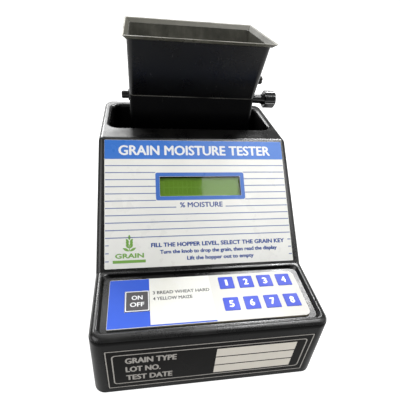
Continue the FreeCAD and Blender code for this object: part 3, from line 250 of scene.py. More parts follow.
def painted_sheet(name, gloss):
    """Black enamel on folded sheet: orange peel and hairlines, dusty inside, with painted highlights on its
    lip, its top edge and its bend.
    """
    enamel, dust_grey, lip_highlight_grey = rgb(4, 4, 5), rgb(104, 103, 94), rgb(92, 90, 80)
    edge_highlight_grey, bend_highlight_grey, scratch_grey = rgb(176, 174, 164), rgb(120, 118, 112), rgb(96, 94, 90)
    look = Look(name, enamel, 0.24, Specular_IOR_Level=gloss)
    peel = look.noise(520, 3, 0.5)
    wave = look.noise(20, 2)
    hair = look.noise(260, 4, 0.7, look.stretched((1.0, 1.0, 0.04)))
    scratch = look.remap(hair, 0.66, 0.72)
    smudge = look.noise(30, 4, 0.6)
    height = look.axis("Z")
    from_axis = look.math("SUBTRACT", look.axis("Y"), AXIS_Y)
    outward = look.math("ADD", look.math("MULTIPLY", from_axis, look.normal("Y")),
                        look.math("MULTIPLY", look.axis("X"), look.normal("X")))
    inside = look.remap(outward, 0.0, -4 * MM)
    look.rough(look.math("ADD", look.remap(smudge, 0.35, 0.7, 0.2, 0.36),
                         look.math("MULTIPLY", inside, 0.2)))
    # Patchy noise that breaks up both the dust inside and the painted highlight on the lip.
    dust_and_highlight_patches = look.remap(look.noise(85, 5, 0.65), 0.3, 0.72, 0.5, 1.0)
    streak = look.remap(look.noise(120, 4, 0.6, look.stretched((1.0, 1.0, 0.12))), 0.35, 0.7, 0.7, 1.0)
    dust = look.math("MULTIPLY", look.math("MULTIPLY", dust_and_highlight_patches, streak), inside)
    base = look.mix(dust, enamel, dust_grey)
    # The lip's flange is mixed towards grey-olive: a painted highlight of the light that catches it.
    lip = look.math("MULTIPLY", look.remap(height, LIP_FOOT, LIP_FULL), dust_and_highlight_patches)
    lip_highlighted = look.mix(look.math("MULTIPLY", lip, 0.9), base, lip_highlight_grey)
    # The top edge is mixed towards near white: a painted highlight along the sheet's edge.
    rim = look.remap(height, LIP_Z - 0.5 * MM, LIP_Z - 0.2 * MM)
    edge_highlighted = look.mix(look.math("MULTIPLY", rim, look.remap(look.noise(60, 4), 0.3, 0.55, 0.35, 1.0)),
                     lip_highlighted, edge_highlight_grey)
    # A thin lighter line along the bend: a painted highlight on the fold.
    from_bend = look.math("ABSOLUTE", look.math("SUBTRACT", height, BEND_Z))
    bend = look.math("MULTIPLY", look.remap(from_bend, 0.5 * MM, 0.2 * MM),
                     look.remap(look.noise(24, 3), 0.4, 0.6))
    bend_highlighted = look.mix(look.math("MULTIPLY", bend, 0.5), edge_highlighted, bend_highlight_grey)
    look.color(look.mix(look.math("MULTIPLY", scratch, 0.25), bend_highlighted, scratch_grey))
    look.bump([(wave, 0.5), (peel, 0.25)], 0.1 * MM)
    return look.material


def printed_film(name, color, roughness=0.3, gloss=0.5):
    """Ink under clear polyester film: slight mottling, a few specks and a fine satin texture."""
    look = Look(name, color, roughness, Specular_IOR_Level=gloss)
    cloud = look.remap(look.noise(45, 4, 0.6), 0.3, 0.7)
    shade = look.mix(cloud, color, shaded(color, 0.95))
    speck = look.remap(look.cells(330), 0.0, 0.05, 0.35, 0.0)
    gate = look.remap(look.noise(70, 2), 0.6, 0.72)
    look.color(look.mix(look.math("MULTIPLY", speck, gate), shade, rgb(120, 118, 110)))
    look.rough(look.remap(look.noise(60, 3), 0.3, 0.7, roughness - 0.05, roughness + 0.08))
    look.bump([(look.noise(1400, 2), 0.12), (look.noise(18, 2), 0.15)], 0.05 * MM)
    return look.material


def lcd_green():
    """Yellow-green liquid crystal glass: slight clouds and a fine grain."""
    look = Look("lcd_green", rgb(140, 176, 64), 0.1, Specular_IOR_Level=0.15)
    cloud = look.remap(look.noise(60, 3), 0.3, 0.7)
    ground = look.mix(cloud, rgb(136, 172, 60), rgb(146, 182, 70))
    grain = look.noise(2600, 2)
    look.color(look.mix(look.remap(grain, 0.4, 0.7, 0.0, 0.12), ground, rgb(110, 146, 46)))
    return look.material


def lcd_cells():
    """Unlit character cells, a shade darker than the glass around them."""
    look = Look("lcd_cells", rgb(132, 168, 60), 0.1, Specular_IOR_Level=0.15)
    look.color(look.mix(look.remap(look.noise(900, 2), 0.3, 0.7), rgb(130, 166, 57), rgb(137, 173, 62)))
    return look.material


def clear_pane():
    """Thin acrylic: see-through, with its surface's reflection and a few wiping marks in it."""
    look = Look("clear_pane", (0.9, 0.95, 0.9), 0.04)
    gloss = look.node("ShaderNodeBsdfGlossy")
    look.link(look.remap(look.noise(140, 5, 0.7), 0.45, 0.75, 0.03, 0.14), gloss.inputs["Roughness"])
    clear = look.node("ShaderNodeBsdfTransparent")
    clear.inputs["Color"].default_value = (0.93, 0.97, 0.93, 1)
    share = look.node("ShaderNodeFresnel")
    share.inputs["IOR"].default_value = 1.3
    both = look.node("ShaderNodeMixShader")
    look.link(share.outputs["Fac"], both.inputs["Fac"])
    look.link(clear.outputs["BSDF"], both.inputs[1])
    look.link(gloss.outputs["BSDF"], both.inputs[2])
    look.link(both.outputs["Shader"], look.tree.nodes["Material Output"].inputs["Surface"])
    look.tree.nodes.remove(look.shader)
    return look.material


def metal(name, color, roughness, brushed):
    """Machined or plated metal with fine marks, denser along the axes that brushed scales up."""
    look = Look(name, color, roughness, Metallic=1.0)
    lines = look.noise(700, 3, 0.6, look.stretched(brushed))
    blot = look.noise(120, 4, 0.6)
    look.rough(look.math("ADD", look.remap(lines, 0.3, 0.7, roughness - 0.08, roughness + 0.08),
                         look.remap(blot, 0.4, 0.7, 0.0, 0.1)))
    look.color(look.mix(look.remap(blot, 0.35, 0.75), color, shaded(color, 0.75)))
    look.bump([(lines, 0.25)], 0.04 * MM)
    return look.material


def soft_rubber():
    """Dull rubber with pale scuffs and a fine grain."""
    look = Look("soft_rubber", rgb(28, 28, 28), 0.75, Specular_IOR_Level=0.3)
    look.color(look.mix(look.remap(look.noise(300, 4), 0.4, 0.7), rgb(26, 26, 26), rgb(58, 56, 52)))
    look.bump([(look.noise(1200, 3), 0.4)], 0.08 * MM)
    return look.material


def paper_label():
    """Uncoated paper sticker with visible fibre and a slight yellowing."""
    look = Look("paper_label", rgb(238, 238, 228), 0.75, Specular_IOR_Level=0.3)
    fibre = look.noise(1100, 5, 0.75, look.stretched((1.0, 2.2, 1.0)))
    stain = look.remap(look.noise(40, 4, 0.6), 0.45, 0.8)
    paper = look.mix(look.remap(fibre, 0.3, 0.75), rgb(240, 240, 235), rgb(232, 232, 224))
    look.color(look.mix(look.math("MULTIPLY", stain, 0.35), paper, rgb(228, 224, 204)))
    look.bump([(fibre, 0.25)], 0.05 * MM)
    return look.material


def circuit_board():
    """Green solder mask over copper tracks."""
    look = Look("circuit_board", rgb(16, 78, 40), 0.35)
    tracks = look.node("ShaderNodeTexBrick")
    tracks.inputs["Scale"].default_value = 220
    tracks.inputs["Mortar Size"].default_value = 0.06
    look.link(look.place, tracks.inputs["Vector"])
    weave = look.remap(look.noise(1500, 2), 0.4, 0.7, 0.0, 0.3)
    ground = look.mix(weave, rgb(14, 72, 36), rgb(22, 92, 50))
    look.color(look.mix(look.math("MULTIPLY", tracks.outputs["Fac"], 0.5), ground, rgb(40, 120, 60)))
    look.bump([(tracks.outputs["Fac"], 0.3)], 0.05 * MM)
    return look.material


COPPER_LENGTH = 16 * MM
COPPER_BLUR = 0.4 * MM


def wrapped_cell():
    """Shrink-wrapped battery: plain blue, with a copper-coloured length at the back."""
    look = Look("wrapped_cell", rgb(40, 60, 120), 0.3, Coat_Weight=0.4)
    along = look.axis("Y")
    copper_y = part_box("battery_cells")[1].y - COPPER_LENGTH
    band = look.remap(along, copper_y, copper_y + COPPER_BLUR)
    body = look.mix(look.remap(look.noise(90, 3), 0.3, 0.7), rgb(36, 54, 112), rgb(46, 66, 126))
    look.color(look.mix(band, body, rgb(150, 96, 58)))
    look.bump([(look.noise(300, 2), 0.1)], 0.05 * MM)
    return look.material


def clear_film():
    """Amber circuit film with grey traces that run across it."""
    look = Look("clear_film", rgb(176, 166, 132), 0.28)
    traces = look.remap(look.noise(200, 2, 0.5, look.stretched((0.1, 1, 1))), 0.5, 0.53)
    look.color(look.mix(traces, rgb(180, 170, 136), rgb(120, 124, 128)))
    look.bump([(look.noise(800, 2), 0.1)], 0.05 * MM)
    return look.material


def plain_plastic(name, color, roughness=0.4, grain=0.2):
    """Small moulded or extruded plastic piece, with slight mottling and surface grain."""
    look = Look(name, color, roughness)
    cloud = look.remap(look.noise(160, 4, 0.6), 0.3, 0.75)
    look.color(look.mix(cloud, color, shaded(color, 0.8)))
    look.rough(look.remap(look.noise(220, 3), 0.3, 0.7, roughness - 0.06, roughness + 0.08))
    look.bump([(look.noise(1500, 2), grain)], 0.05 * MM)
    return look.material


FLOOR_GLOW = 0.98


def stage_floor():
    """Grey card that glows white, as a light table does, so that it stays pale under any light."""
    look = Look("stage_floor", (0.3, 0.3, 0.3), 0.8, Specular_IOR_Level=0.05, Emission_Strength=FLOOR_GLOW)
    look.shader.inputs["Emission Color"].default_value = (1, 1, 1, 1)
    look.color(look.mix(look.remap(look.noise(3, 3), 0.3, 0.7), (0.29, 0.29, 0.288), (0.31, 0.31, 0.308)))
    return look.material


BLACK = moulded_black("moulded_black", 0.27, 0.22, gloss=0.75)
# A copy that reflects almost nothing, for the housing's outer walls: painted shade.
WALL_SHADE_BLACK = moulded_black("moulded_black_wall_shade", 0.3, 0.22, gloss=0.06)
BASE_BLACK = moulded_black("base_black", 0.48, 0.5, gloss=0.3, dust=0.15)
CELL_BLACK = moulded_black("cell_black", 0.4, 0.35, gloss=0.3, dust=0.8)
SHEET_BLACK = painted_sheet("painted_sheet", 0.22)
# A copy that reflects almost nothing, for the hopper's neck below the bend: painted shade.
NECK_SHADE_BLACK = painted_sheet("shaded_neck_sheet", 0.03)
FILM_WHITE = printed_film("film_white", rgb(246, 246, 240))
FILM_BLUE = printed_film("film_blue", rgb(62, 124, 214))
RULE_BLUE = printed_film("rule_blue", rgb(126, 138, 180))
INK_BLUE = printed_film("ink_blue", rgb(46, 78, 152))
INK_WHITE = printed_film("ink_white", rgb(246, 247, 248))
INK_GREEN = printed_film("ink_green", rgb(128, 178, 84))
FRAME_BLUE = printed_film("frame_blue", rgb(62, 114, 200))
PAD_WHITE = printed_film("pad_white", rgb(226, 225, 219), 0.34, gloss=0.12)
PAD_BLUE = printed_film("pad_blue", rgb(66, 102, 214), 0.34, gloss=0.12)
KEY_BLUE = printed_film("key_blue", rgb(76, 94, 212), 0.34, gloss=0.12)
KEY_DARK = printed_film("key_dark", rgb(94, 92, 94), 0.34, gloss=0.12)
PLATE_BLACK = printed_film("plate_black", rgb(12, 11, 10), 0.3, gloss=0.03)
PLATE_SILVER = printed_film("plate_silver", rgb(158, 154, 148), 0.35, gloss=0.2)
PLATE_FIELD = printed_film("plate_field", rgb(212, 206, 194), 0.5)
INK_GREY = printed_film("ink_grey", rgb(66, 68, 70), 0.6)
LCD_GREEN = lcd_green()
LCD_CELLS = lcd_cells()
PANE = clear_pane()
STEEL = metal("plated_steel", rgb(190, 190, 192), 0.3, (1, 1, 8))
STAINLESS = metal("stainless_plate", rgb(200, 199, 196), 0.28, (1, 8, 1))
DARK_STEEL = metal("blackened_steel", rgb(58, 57, 56), 0.32, (8, 1, 1))
BRASS = metal("turned_brass", rgb(206, 168, 96), 0.3, (1, 1, 8))
RUBBER = soft_rubber()
PAPER = paper_label()
BOARD = circuit_board()
BATTERY = wrapped_cell()
CLEAR_FILM = clear_film()
LIGHT_GUIDE = plain_plastic("light_guide_green", rgb(176, 206, 92), 0.5)
KNOB_BLACK = plain_plastic("knob_black", rgb(28, 28, 29), 0.16, 0.1)
NYLON_BLACK = plain_plastic("nylon_black", rgb(26, 26, 26), 0.36)
CHIP_BLACK = plain_plastic("chip_black", rgb(34, 34, 36), 0.5)
RIBBON_GREY = plain_plastic("ribbon_grey", rgb(150, 152, 156), 0.5)
LEAD_RED = plain_plastic("lead_red", rgb(170, 34, 26), 0.4)
LEAD_BLACK = plain_plastic("lead_black", rgb(28, 28, 28), 0.4)

LOOK_NODES = (
    (BLACK, ("housing_shell",)),
    (BASE_BLACK, ("base_plate", "battery_door", "battery_holder")),
    (CELL_BLACK, ("cell_body",)),
    (SHEET_BLACK, ("hopper_shell", "trap_flap")),
    (FILM_WHITE, ("panel_overlay",)),
    (PAD_WHITE, ("keypad_overlay",)),
    (KEY_BLUE, tuple("key_%d" % number for number in range(1, 9))),
    (KEY_DARK, ("key_on_off",)),
    (PLATE_BLACK, ("name_plate",)),
    (PAPER, ("crop_label",)),
    (PANE, ("lcd_window",)),
    (LCD_GREEN, ("lcd_glass",)),
    (LIGHT_GUIDE, ("lcd_backlight",)),
    (CLEAR_FILM, ("keypad_circuit", "keypad_spacer", "keypad_tail")),
    (RIBBON_GREY, ("display_ribbon",)),
    (BOARD, ("lcd_board", "main_board")),
    (CHIP_BLACK, ("board_components", "dc_jack")),
    (STEEL, ("base_screws", "battery_contacts", "lcd_screws", "flap_shaft", "cell_screws", "board_screws")),
    (STAINLESS, ("electrode_front", "electrode_rear", "thermistor_probe")),
    (DARK_STEEL, ("lcd_bezel", "stop_screw", "stop_lock_nut", "flap_screws")),
    (BRASS, ("board_standoffs",)),
    (NYLON_BLACK, ("bush_left", "bush_right", "shaft_end_cap")),
    (KNOB_BLACK, ("flap_knob",)),
    (RUBBER, ("rubber_feet",)),
    (BATTERY, ("battery_cells",)),
    (LEAD_RED, ("cell_leads",)),
    (LEAD_BLACK, ("battery_leads",)),
)


def is_outer_wall(face):
    """Whether a face of the housing is on its outer walls, and not on its tops or in the well."""
    middle = face.center
    return face.normal.z < WALL_RISE and (middle.z < DECK_Z or abs(middle.x) > OUTER_X or middle.y > OUTER_Y)


def add_second_look(name, look, chosen):
    """Give a second material to the faces of a node that are chosen."""
    mesh = nodes[name].data
    mesh.materials.append(look)
    second = len(mesh.materials) - 1
    for face in mesh.polygons:
        if chosen(face):
            face.material_index = second


def dress_cad_nodes():
    """Give every CAD node its material. The hopper's neck and the housing's outer walls get duller copies
    that reflect almost no light: painted shade that keeps them dark.
    """
    for look, names in LOOK_NODES:
        for name in names:
            materials = nodes[name].data.materials
            materials.clear()
            materials.append(look)
    add_second_look("hopper_shell", NECK_SHADE_BLACK, lambda face: face.center.z < BEND_Z)
    add_second_look("housing_shell", WALL_SHADE_BLACK, is_outer_wall)


# ---- Mesh helpers --------------------------------------------------------------------------------

def finish_piece(name, mesh_builder, material, body):
    """Turn a bmesh into an object that rides on a CAD body."""
    mesh = bpy.data.meshes.new(name)
    bmesh.ops.recalc_face_normals(mesh_builder, faces=mesh_builder.faces)
    mesh_builder.to_mesh(mesh)
    mesh_builder.free()
    mesh.materials.append(material)
    piece = bpy.data.objects.new(name, mesh)
    bpy.context.scene.collection.objects.link(piece)
    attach(piece, body)
    return piece


INK_LIFT = 0.02 * MM
INK_THICK = 0.03 * MM
CORNER_STEPS = 5


def rounded(width, length, radius, centre=(0, 0)):
    """Corner points of a rounded rectangle, anticlockwise, in the units of its sizes."""
    points = []
    for turn, (side_x, side_y) in enumerate(((1, 1), (-1, 1), (-1, -1), (1, -1))):
        x = centre[0] + side_x * (width / 2 - radius)
        y = centre[1] + side_y * (length / 2 - radius)
        for step in range(CORNER_STEPS + 1):
            angle = math.radians(90 * (turn + step / CORNER_STEPS))
            points.append((x + radius * math.cos(angle), y + radius * math.sin(angle)))
    return points


def rectangle(x0, x1, y0, y1):
    """Corner points of a rectangle, anticlockwise."""
    return [(x0, y0), (x1, y0), (x1, y1), (x0, y1)]


def ink(name, shapes, place, material, body="housing", rings=(), lift=INK_LIFT, thick=INK_THICK):
    """Thin raised ink: filled outlines, and rings as (outer, inner) outlines, in millimetres on a face.

    Lift is the gap under the ink and thick its depth, both in metres.
    """
    builder = bmesh.new()

    def corner(point, height):
        return builder.verts.new(place @ Vector((point[0] * MM, point[1] * MM, height)))

    for outline in shapes:
        low = [corner(point, lift) for point in outline]
        high = [corner(point, lift + thick) for point in outline]
        builder.faces.new(high)
        builder.faces.new(list(reversed(low)))
        for i in range(len(outline)):
            j = (i + 1) % len(outline)
            builder.faces.new((low[i], low[j], high[j], high[i]))
    for outer, inner in rings:
        levels = ((outer, lift), (outer, lift + thick), (inner, lift + thick), (inner, lift))
        loops = [[corner(point, height) for point in outline] for outline, height in levels]
        for near, far in zip(loops, loops[1:] + loops[:1]):
            for i in range(len(outer)):
                j = (i + 1) % len(outer)
                builder.faces.new((near[i], near[j], far[j], far[i]))
    return finish_piece(name, builder, material, body)


# The built-in font's capital height at size 1, and the step that keeps a bold word's copies apart.
CAP_HEIGHT = 0.7
LAYER_STEP = 0.002 * MM


def letter_mesh(text):
    """The built-in font's letters at size 1, as a mesh. Lettering scales its depth to the ink's."""
    curve = bpy.data.curves.new("letters", "FONT")
    curve.body = text
    curve.extrude = 0.01
    curve.resolution_u = 3
    source = bpy.data.objects.new("letters", curve)
    bpy.context.scene.collection.objects.link(source)
    bpy.context.view_layer.update()
    mesh = bpy.data.meshes.new_from_object(source.evaluated_get(bpy.context.evaluated_depsgraph_get()))
    bpy.data.objects.remove(source)
    return mesh


def lettering(name, text, span, base, height, place, material, body="housing", bold=0.0,
              lift=INK_LIFT * 2):
    """Words as thin raised ink that fill a span in x, on a base line and at a capital height.

    Bold is the width added to the strokes, by shifted copies. All but lift are in millimetres.
    """
    letters = letter_mesh(text)
    low = Vector([min(vertex.co[i] for vertex in letters.vertices) for i in range(3)])
    high = Vector([max(vertex.co[i] for vertex in letters.vertices) for i in range(3)])
    shifts = [(0, 0)]
    if bold:
        shifts = [(-bold / 2, 0), (bold / 2, 0), (0, bold / 3), (0, -bold / 3)]
    wide = (span[1] - span[0] - bold) * MM / (high.x - low.x)
    tall = (height - bold / 1.5) * MM / CAP_HEIGHT
    builder = bmesh.new()
    for layer, (shift_x, shift_y) in enumerate(shifts):
        spots = []
        for vertex in letters.vertices:
            x = (span[0] + bold / 2 + shift_x) * MM + (vertex.co.x - low.x) * wide
            y = (base + bold / 3 + shift_y) * MM + vertex.co.y * tall
            z = lift + LAYER_STEP * layer + (vertex.co.z - low.z) / (high.z - low.z) * INK_THICK
            spots.append(builder.verts.new(place @ Vector((x, y, z))))
        for face in letters.polygons:
            builder.faces.new([spots[i] for i in face.vertices])
    bpy.data.meshes.remove(letters)
    return finish_piece(name, builder, material, body)


# ---- Print on the sloped panel -------------------------------------------------------------------

PANEL_HALF = 71.6
VIEW_CENTRE = (1.7, 61.6)
VIEW_FRAME = ((70.9, 22.3, 1.6), (64.7, 16.1, 0.6))
VIEW_GAP = (35.3, 11.5)

RULE_TOP = 78.5
RULE_PITCH = 5.6
RULE_COUNT = 11
RULE_HALF = 0.36
CAPTION_RULE = 45.0
CAPTION_GAP = (-18.5, 20.5)
EDGE_TICKS = (17.0, 11.2, 5.4)
TICK_LENGTH = 2.6

# Name, text, span in x, base line, capital height and added stroke.
PANEL_WORDS = (
    ("print_caption", "% MOISTURE", (-15.6, 18.2), 44.6, 4.1, 0.3),
    ("print_line_1", "FILL THE HOPPER LEVEL, SELECT THE GRAIN KEY", (-38.5, 66), 14.6, 3.3, 0.44),
    ("print_line_2", "Turn the knob to drop the grain, then read the display", (-32.0, 59.4), 9.5, 3.0, 0.4),
    ("print_line_3", "Lift the hopper out to empty", (-12.0, 40), 4.2, 3.0, 0.4),
)


def panel_rules():
    """The ruled lines, with gaps for the caption and the display, and short ticks below them."""
    lines = []
    for index in range(RULE_COUNT):
        up = RULE_TOP - RULE_PITCH * index
        spans = [(-PANEL_HALF, PANEL_HALF)]
        if abs(up - CAPTION_RULE) < RULE_PITCH / 4:
            spans = [(-PANEL_HALF, CAPTION_GAP[0]), (CAPTION_GAP[1], PANEL_HALF)]
        elif abs(up - VIEW_CENTRE[1]) < VIEW_GAP[1]:
            spans = [(-PANEL_HALF, VIEW_CENTRE[0] - VIEW_GAP[0]), (VIEW_CENTRE[0] + VIEW_GAP[0], PANEL_HALF)]
        lines += [rectangle(x0, x1, up - RULE_HALF, up + RULE_HALF) for x0, x1 in spans]
    for up in EDGE_TICKS:
        for x0, x1 in ((-PANEL_HALF, -PANEL_HALF + TICK_LENGTH), (PANEL_HALF - TICK_LENGTH, PANEL_HALF)):
            lines.append(rectangle(x0, x1, up - RULE_HALF, up + RULE_HALF))
    return lines


def print_panel():
    """The title on its band, the rules, the frame round the display, and the words."""
    ink("print_title_band", [rounded(2 * PANEL_HALF + 0.6, 15.6, 0.6, (0, 91.7))], PANEL, FILM_BLUE)
    lettering("print_title", "GRAIN MOISTURE TESTER", (-61.5, 61.5), 87.1, 8.3, PANEL, INK_WHITE,
              bold=0.75, lift=INK_LIFT + INK_THICK * 1.5)
    ink("print_rules", panel_rules(), PANEL, RULE_BLUE)
    outer, inner = (rounded(*size, VIEW_CENTRE) for size in VIEW_FRAME)
    ink("print_view_frame", [], PANEL, FRAME_BLUE, rings=[(outer, inner)])
    for name, text, span, base, height, bold in PANEL_WORDS:
        lettering(name, text, span, base, height, PANEL, INK_BLUE, bold=bold)


KERNEL_STEPS = 8


def kernel(x, y, angle, long, wide):
    """A pointed grain outline that starts at (x, y) and grows along an angle in degrees."""
    turn = math.radians(angle)
    along, across = (math.sin(turn), math.cos(turn)), (math.cos(turn), -math.sin(turn))
    left, right = [], []
    for step in range(KERNEL_STEPS + 1):
        share = step / KERNEL_STEPS
        swell = wide * math.sin(math.pi * share) ** 0.8
        middle = (x + along[0] * long * share, y + along[1] * long * share)
        left.append((middle[0] - across[0] * swell, middle[1] - across[1] * swell))
        right.append((middle[0] + across[0] * swell, middle[1] + across[1] * swell))
    return right[:-1] + list(reversed(left[1:]))


EMBLEM_X = -54.2
STALK_HALF = 0.28
STALK_FOOT = 12.6
STALK_TOP = 17.2

# The tip's height, length and half width, and then how far each mirrored kernel or leaf starts from the
# stalk, its height, its lean in degrees, its length and its half width.
TIP_KERNEL = (20.6, 4.0, 0.9)
SIDE_KERNELS = tuple((0.4, 14.6 + 2.0 * row, 34, 3.7, 0.85) for row in range(3))
LEAF = (0.2, 12.4, 62, 5.2, 0.9)


def print_emblem():
    """A plain ear of grain over a word and a bar."""
    up, long, wide = TIP_KERNEL
    ear = [rectangle(EMBLEM_X - STALK_HALF, EMBLEM_X + STALK_HALF, STALK_FOOT, STALK_TOP),
           kernel(EMBLEM_X, up, 0, long, wide)]
    for out, up, lean, long, wide in (*SIDE_KERNELS, LEAF):
        ear += [kernel(EMBLEM_X + side * out, up, side * lean, long, wide) for side in (-1, 1)]
    ink("print_ear", ear, PANEL, INK_GREEN)
    lettering("print_grain", "GRAIN", (-64.5, -43.8), 7.3, 3.6, PANEL, INK_GREEN, bold=0.5)
    ink("print_bar", [rectangle(-66.2, -42.6, 3.8, 5.9)], PANEL, INK_GREEN)


# ---- Display -------------------------------------------------------------------------------------

LCD_COLUMNS = 16
LCD_COLUMN_PITCH = 3.55
LCD_ROW_OFFSET = 3.0
LCD_CELL_HALF = (1.46, 2.45)
LCD_CELL_DEPTH = 3.22 * MM
LCD_CELL_THICK = 0.01 * MM


def make_lcd_cells():
    """Two rows of sixteen unlit character cells, just over the display glass under the panel."""
    centre = Vector((VIEW_CENTRE[0] * MM, VIEW_CENTRE[1] * MM, -LCD_CELL_DEPTH))
    cells = []
    half_x, half_y = LCD_CELL_HALF
    for row in (-1, 1):
        for column in range(LCD_COLUMNS):
            x = (column - (LCD_COLUMNS - 1) / 2) * LCD_COLUMN_PITCH
            y = row * LCD_ROW_OFFSET
            cells.append(rectangle(x - half_x, x + half_x, y - half_y, y + half_y))
    ink("lcd_character_cells", cells, PANEL @ Matrix.Translation(centre), LCD_CELLS,
        lift=0.0, thick=LCD_CELL_THICK)


# ---- Print on the keypad -------------------------------------------------------------------------

BLUE_LEFT = -67.6
BLUE_FRONT = 0.3
BLUE_BACK = 40.3
BLUE_CHAMFER = 0.4
POWER_LEFT = -57.3
POWER_RIGHT = -40.7
POWER_FRONT = 12.1
POWER_BACK = 29.7
STRIP_RIGHT = 2.3
STRIP_BACK = 1.25
POWER_BORDER = ((15.8, 16.8, 0.8), (14.5, 15.6, 0.6))
POWER_WORDS = (("print_on", "ON", 3.7, 1.0), ("print_off", "OFF", 4.7, -4.7))
POWER_TEXT = 3.7
DIGIT_TEXT = 5.8
DIGIT_HALF = 1.75
DIGIT_ONE_HALF = 0.95
CROP_TEXT = 2.8
CROP_LEFT = -38.5
CROP_LINES = (("print_crop_3", "3 BREAD WHEAT HARD", 1.2, 24.4),
              ("print_crop_4", "4 YELLOW MAIZE", -11.5, 19.2))


def blue_field():
    """The keypad's blue: a block at the left that frames the ON/OFF key, and a strip under the label."""
    inset = BLUE_LEFT + BLUE_CHAMFER
    block = [(inset, BLUE_FRONT), (POWER_LEFT, BLUE_FRONT), (POWER_LEFT, BLUE_BACK), (inset, BLUE_BACK),
             (BLUE_LEFT, BLUE_BACK - BLUE_CHAMFER), (BLUE_LEFT, BLUE_FRONT + BLUE_CHAMFER)]
    return [block,
            rectangle(POWER_LEFT, POWER_RIGHT, BLUE_FRONT, POWER_FRONT),
            rectangle(POWER_LEFT, POWER_RIGHT, POWER_BACK, BLUE_BACK),
            rectangle(POWER_RIGHT, STRIP_RIGHT, BLUE_FRONT, STRIP_BACK)]


def print_keypad():
    """The blue field, the digits, the ON/OFF key's border and words, and the crop label's lines."""
    ink("print_keypad_blue", blue_field(), KEYPAD, PAD_BLUE)
    for number in range(1, 9):
        key = "key_%d" % number
        half = DIGIT_ONE_HALF if number == 1 else DIGIT_HALF
        lettering("print_digit_%d" % number, str(number), (-half, half), -DIGIT_TEXT / 2, DIGIT_TEXT,
                  top_centre(key), INK_WHITE, body=key, bold=0.6)
    place = top_centre("key_on_off")
    outer, inner = (rounded(*size) for size in POWER_BORDER)
    ink("print_power_border", [], place, INK_WHITE, body="key_on_off", rings=[(outer, inner)])
    for name, text, half, base in POWER_WORDS:
        lettering(name, text, (-half, half), base, POWER_TEXT, place, INK_WHITE,
                  body="key_on_off", bold=0.35)
    label = top_frame("crop_label")
    for name, text, right, base in CROP_LINES:
        lettering(name, text, (CROP_LEFT, right), base, CROP_TEXT, label, INK_GREY, bold=0.14)


# ---- Print on the name plate ---------------------------------------------------------------------

PLATE_MIDDLE = (0, 21.65)
PLATE_RULES = (((138.4, 42.7, 0.6), (137.0, 41.3, 0.4)), ((131.0, 33.5, 2.6), (129.4, 31.9, 2.0)))
FIELD_ROWS = ((26.7, 35.5), (16.9, 25.6), (7.2, 15.8))
FIELD_SPAN = (2.3, 58.3)
PLATE_LEFT = -57.3
PLATE_CAPTIONS = (("GRAIN TYPE", -24.2), ("LOT NO.", -34.5), ("TEST DATE", -26.5))
PLATE_TEXT = 6.3
PLATE_TEXT_TOP = 28.2
PLATE_TEXT_PITCH = 9.8


def print_plate():
    """Two ruled borders, three blank fields, and a caption beside each."""
    rings = [tuple(rounded(*size, PLATE_MIDDLE) for size in pair) for pair in PLATE_RULES]
    ink("print_plate_rules", [], PLATE, PLATE_SILVER, rings=rings)
    fields = [rectangle(*FIELD_SPAN, low, high) for low, high in FIELD_ROWS]
    ink("print_plate_fields", fields, PLATE, PLATE_FIELD)
    for index, (text, right) in enumerate(PLATE_CAPTIONS):
        base = PLATE_TEXT_TOP - PLATE_TEXT_PITCH * index
        lettering("print_plate_%d" % (index + 1), text, (PLATE_LEFT, right), base, PLATE_TEXT, PLATE,
                  PLATE_SILVER, bold=0.6)


# ---- Stage, lights and camera --------------------------------------------------------------------

FLOOR_HALF = 60.0
FLOOR_DROP = 0.05 * MM


def make_floor():
    """A wide flat floor, a hair below the feet so that the two don't coincide."""
    mesh = bpy.data.meshes.new("stage_floor")
    builder = bmesh.new()
    bmesh.ops.create_grid(builder, x_segments=2, y_segments=2, size=FLOOR_HALF)
    builder.to_mesh(mesh)
    builder.free()
    mesh.materials.append(stage_floor())
    floor = bpy.data.objects.new("stage_floor", mesh)
    floor.location.z = -FLOOR_DROP
    bpy.context.scene.collection.objects.link(floor)


WORLD_STRENGTH = 0.16
LIGHT_TARGET = Vector((0, 0, 100)) * MM
STEEP = 0.8

# Name, direction from the meter, distance, width and height in metres, and radiance.
LIGHTS = (
    ("sheen_light", (0.39, -0.38, 0.86), 1.2, 0.55, 0.36, 4.0),
    ("overhead", (0.06, 0.10, 0.99), 1.2, 0.8, 0.3, 1.2),
    ("top_strip", (0.36, -0.06, 0.93), 1.3, 0.45, 0.2, 18.0),
    ("back_light", (-0.25, 0.87, 0.44), 1.6, 0.85, 0.6, 4.6),
    ("back_left_strip", (-0.40, 0.86, 0.33), 1.6, 0.3, 0.3, 14.0),
    ("back_left_light", (-0.46, 0.63, 0.62), 1.4, 0.3, 0.3, 18.0),
    ("deck_light", (0.06, 0.60, 0.79), 1.4, 0.5, 0.3, 3.6),
    ("deck_middle_light", (0.24, 0.56, 0.79), 1.4, 0.2, 0.24, 22.0),
    ("deck_right_light", (0.40, 0.56, 0.73), 1.4, 0.2, 0.24, 48.0),
    ("left_fill", (-0.75, -0.35, 0.62), 1.7, 1.2, 1.0, 2.0),
    ("right_fill", (0.95, -0.30, 0.62), 1.7, 1.0, 0.9, 1.0),
)


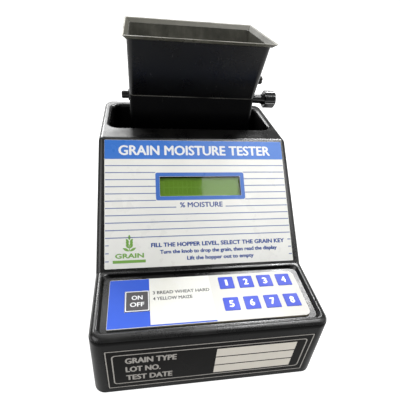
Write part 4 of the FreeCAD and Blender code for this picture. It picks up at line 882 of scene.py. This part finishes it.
def softbox(name, toward, distance, width, height, radiance):
    """A rectangular light that faces the meter from a direction. Its width runs level.

    The width of a steep light runs as near to X as it can.
    """
    outward = Vector(toward).normalized()
    light = bpy.data.lights.new(name, "AREA")
    light.shape = "RECTANGLE"
    light.size = width
    light.size_y = height
    light.energy = radiance * math.pi * width * height
    lamp = bpy.data.objects.new(name, light)
    bpy.context.scene.collection.objects.link(lamp)
    lamp.location = LIGHT_TARGET + outward * distance
    level = Vector((0, 0, 1)).cross(outward)
    if abs(outward.z) > STEEP:
        level = outward.cross(Vector((1, 0, 0))).cross(outward)
    level.normalize()
    turn = Matrix((level, outward.cross(level), outward)).transposed()
    lamp.rotation_mode = "QUATERNION"
    lamp.rotation_quaternion = turn.to_quaternion()


def make_lights():
    """A dim white surround, sheen from above, small lights behind for the edges, and two broad fills."""
    world = bpy.data.worlds.new("surround")
    bpy.context.scene.world = world
    world.use_nodes = True
    background = world.node_tree.nodes["Background"]
    background.inputs["Color"].default_value = (1.0, 1.0, 1.0, 1)
    background.inputs["Strength"].default_value = WORLD_STRENGTH
    for light in LIGHTS:
        softbox(*light)


CAMERA_PLACE = Vector((-43.7, -238.0, 249.4)) * MM
CAMERA_YAW = math.radians(12.5)
CAMERA_PITCH = math.radians(36.0)
CAMERA_ROLL = math.radians(6.1)
CAMERA_LENS = 31.85
CAMERA_SENSOR = 36
CAMERA_SHIFT = (-0.0152, 0.0295)
CLIP_START = 10 * MM


def make_camera():
    """The camera over the front left, turned right, tipped down and rolled a little."""
    data = bpy.data.cameras.new("camera")
    data.sensor_width = CAMERA_SENSOR
    data.lens = CAMERA_LENS
    data.shift_x, data.shift_y = CAMERA_SHIFT
    data.clip_start = CLIP_START
    camera = bpy.data.objects.new("camera", data)
    bpy.context.scene.collection.objects.link(camera)
    forward = Vector((math.sin(CAMERA_YAW) * math.cos(CAMERA_PITCH),
                      math.cos(CAMERA_YAW) * math.cos(CAMERA_PITCH), -math.sin(CAMERA_PITCH)))
    level = Vector((math.cos(CAMERA_YAW), -math.sin(CAMERA_YAW), 0))
    upward = level.cross(forward)
    right = level * math.cos(CAMERA_ROLL) + upward * math.sin(CAMERA_ROLL)
    up = right.cross(forward)
    turn = Matrix((right, up, -forward)).transposed().to_4x4()
    camera.matrix_world = Matrix.Translation(CAMERA_PLACE) @ turn
    bpy.context.scene.camera = camera


bpy.context.scene.view_settings.view_transform = "Standard"
dress_cad_nodes()
print_panel()
print_emblem()
make_lcd_cells()
print_keypad()
print_plate()
make_floor()
make_lights()
make_camera()
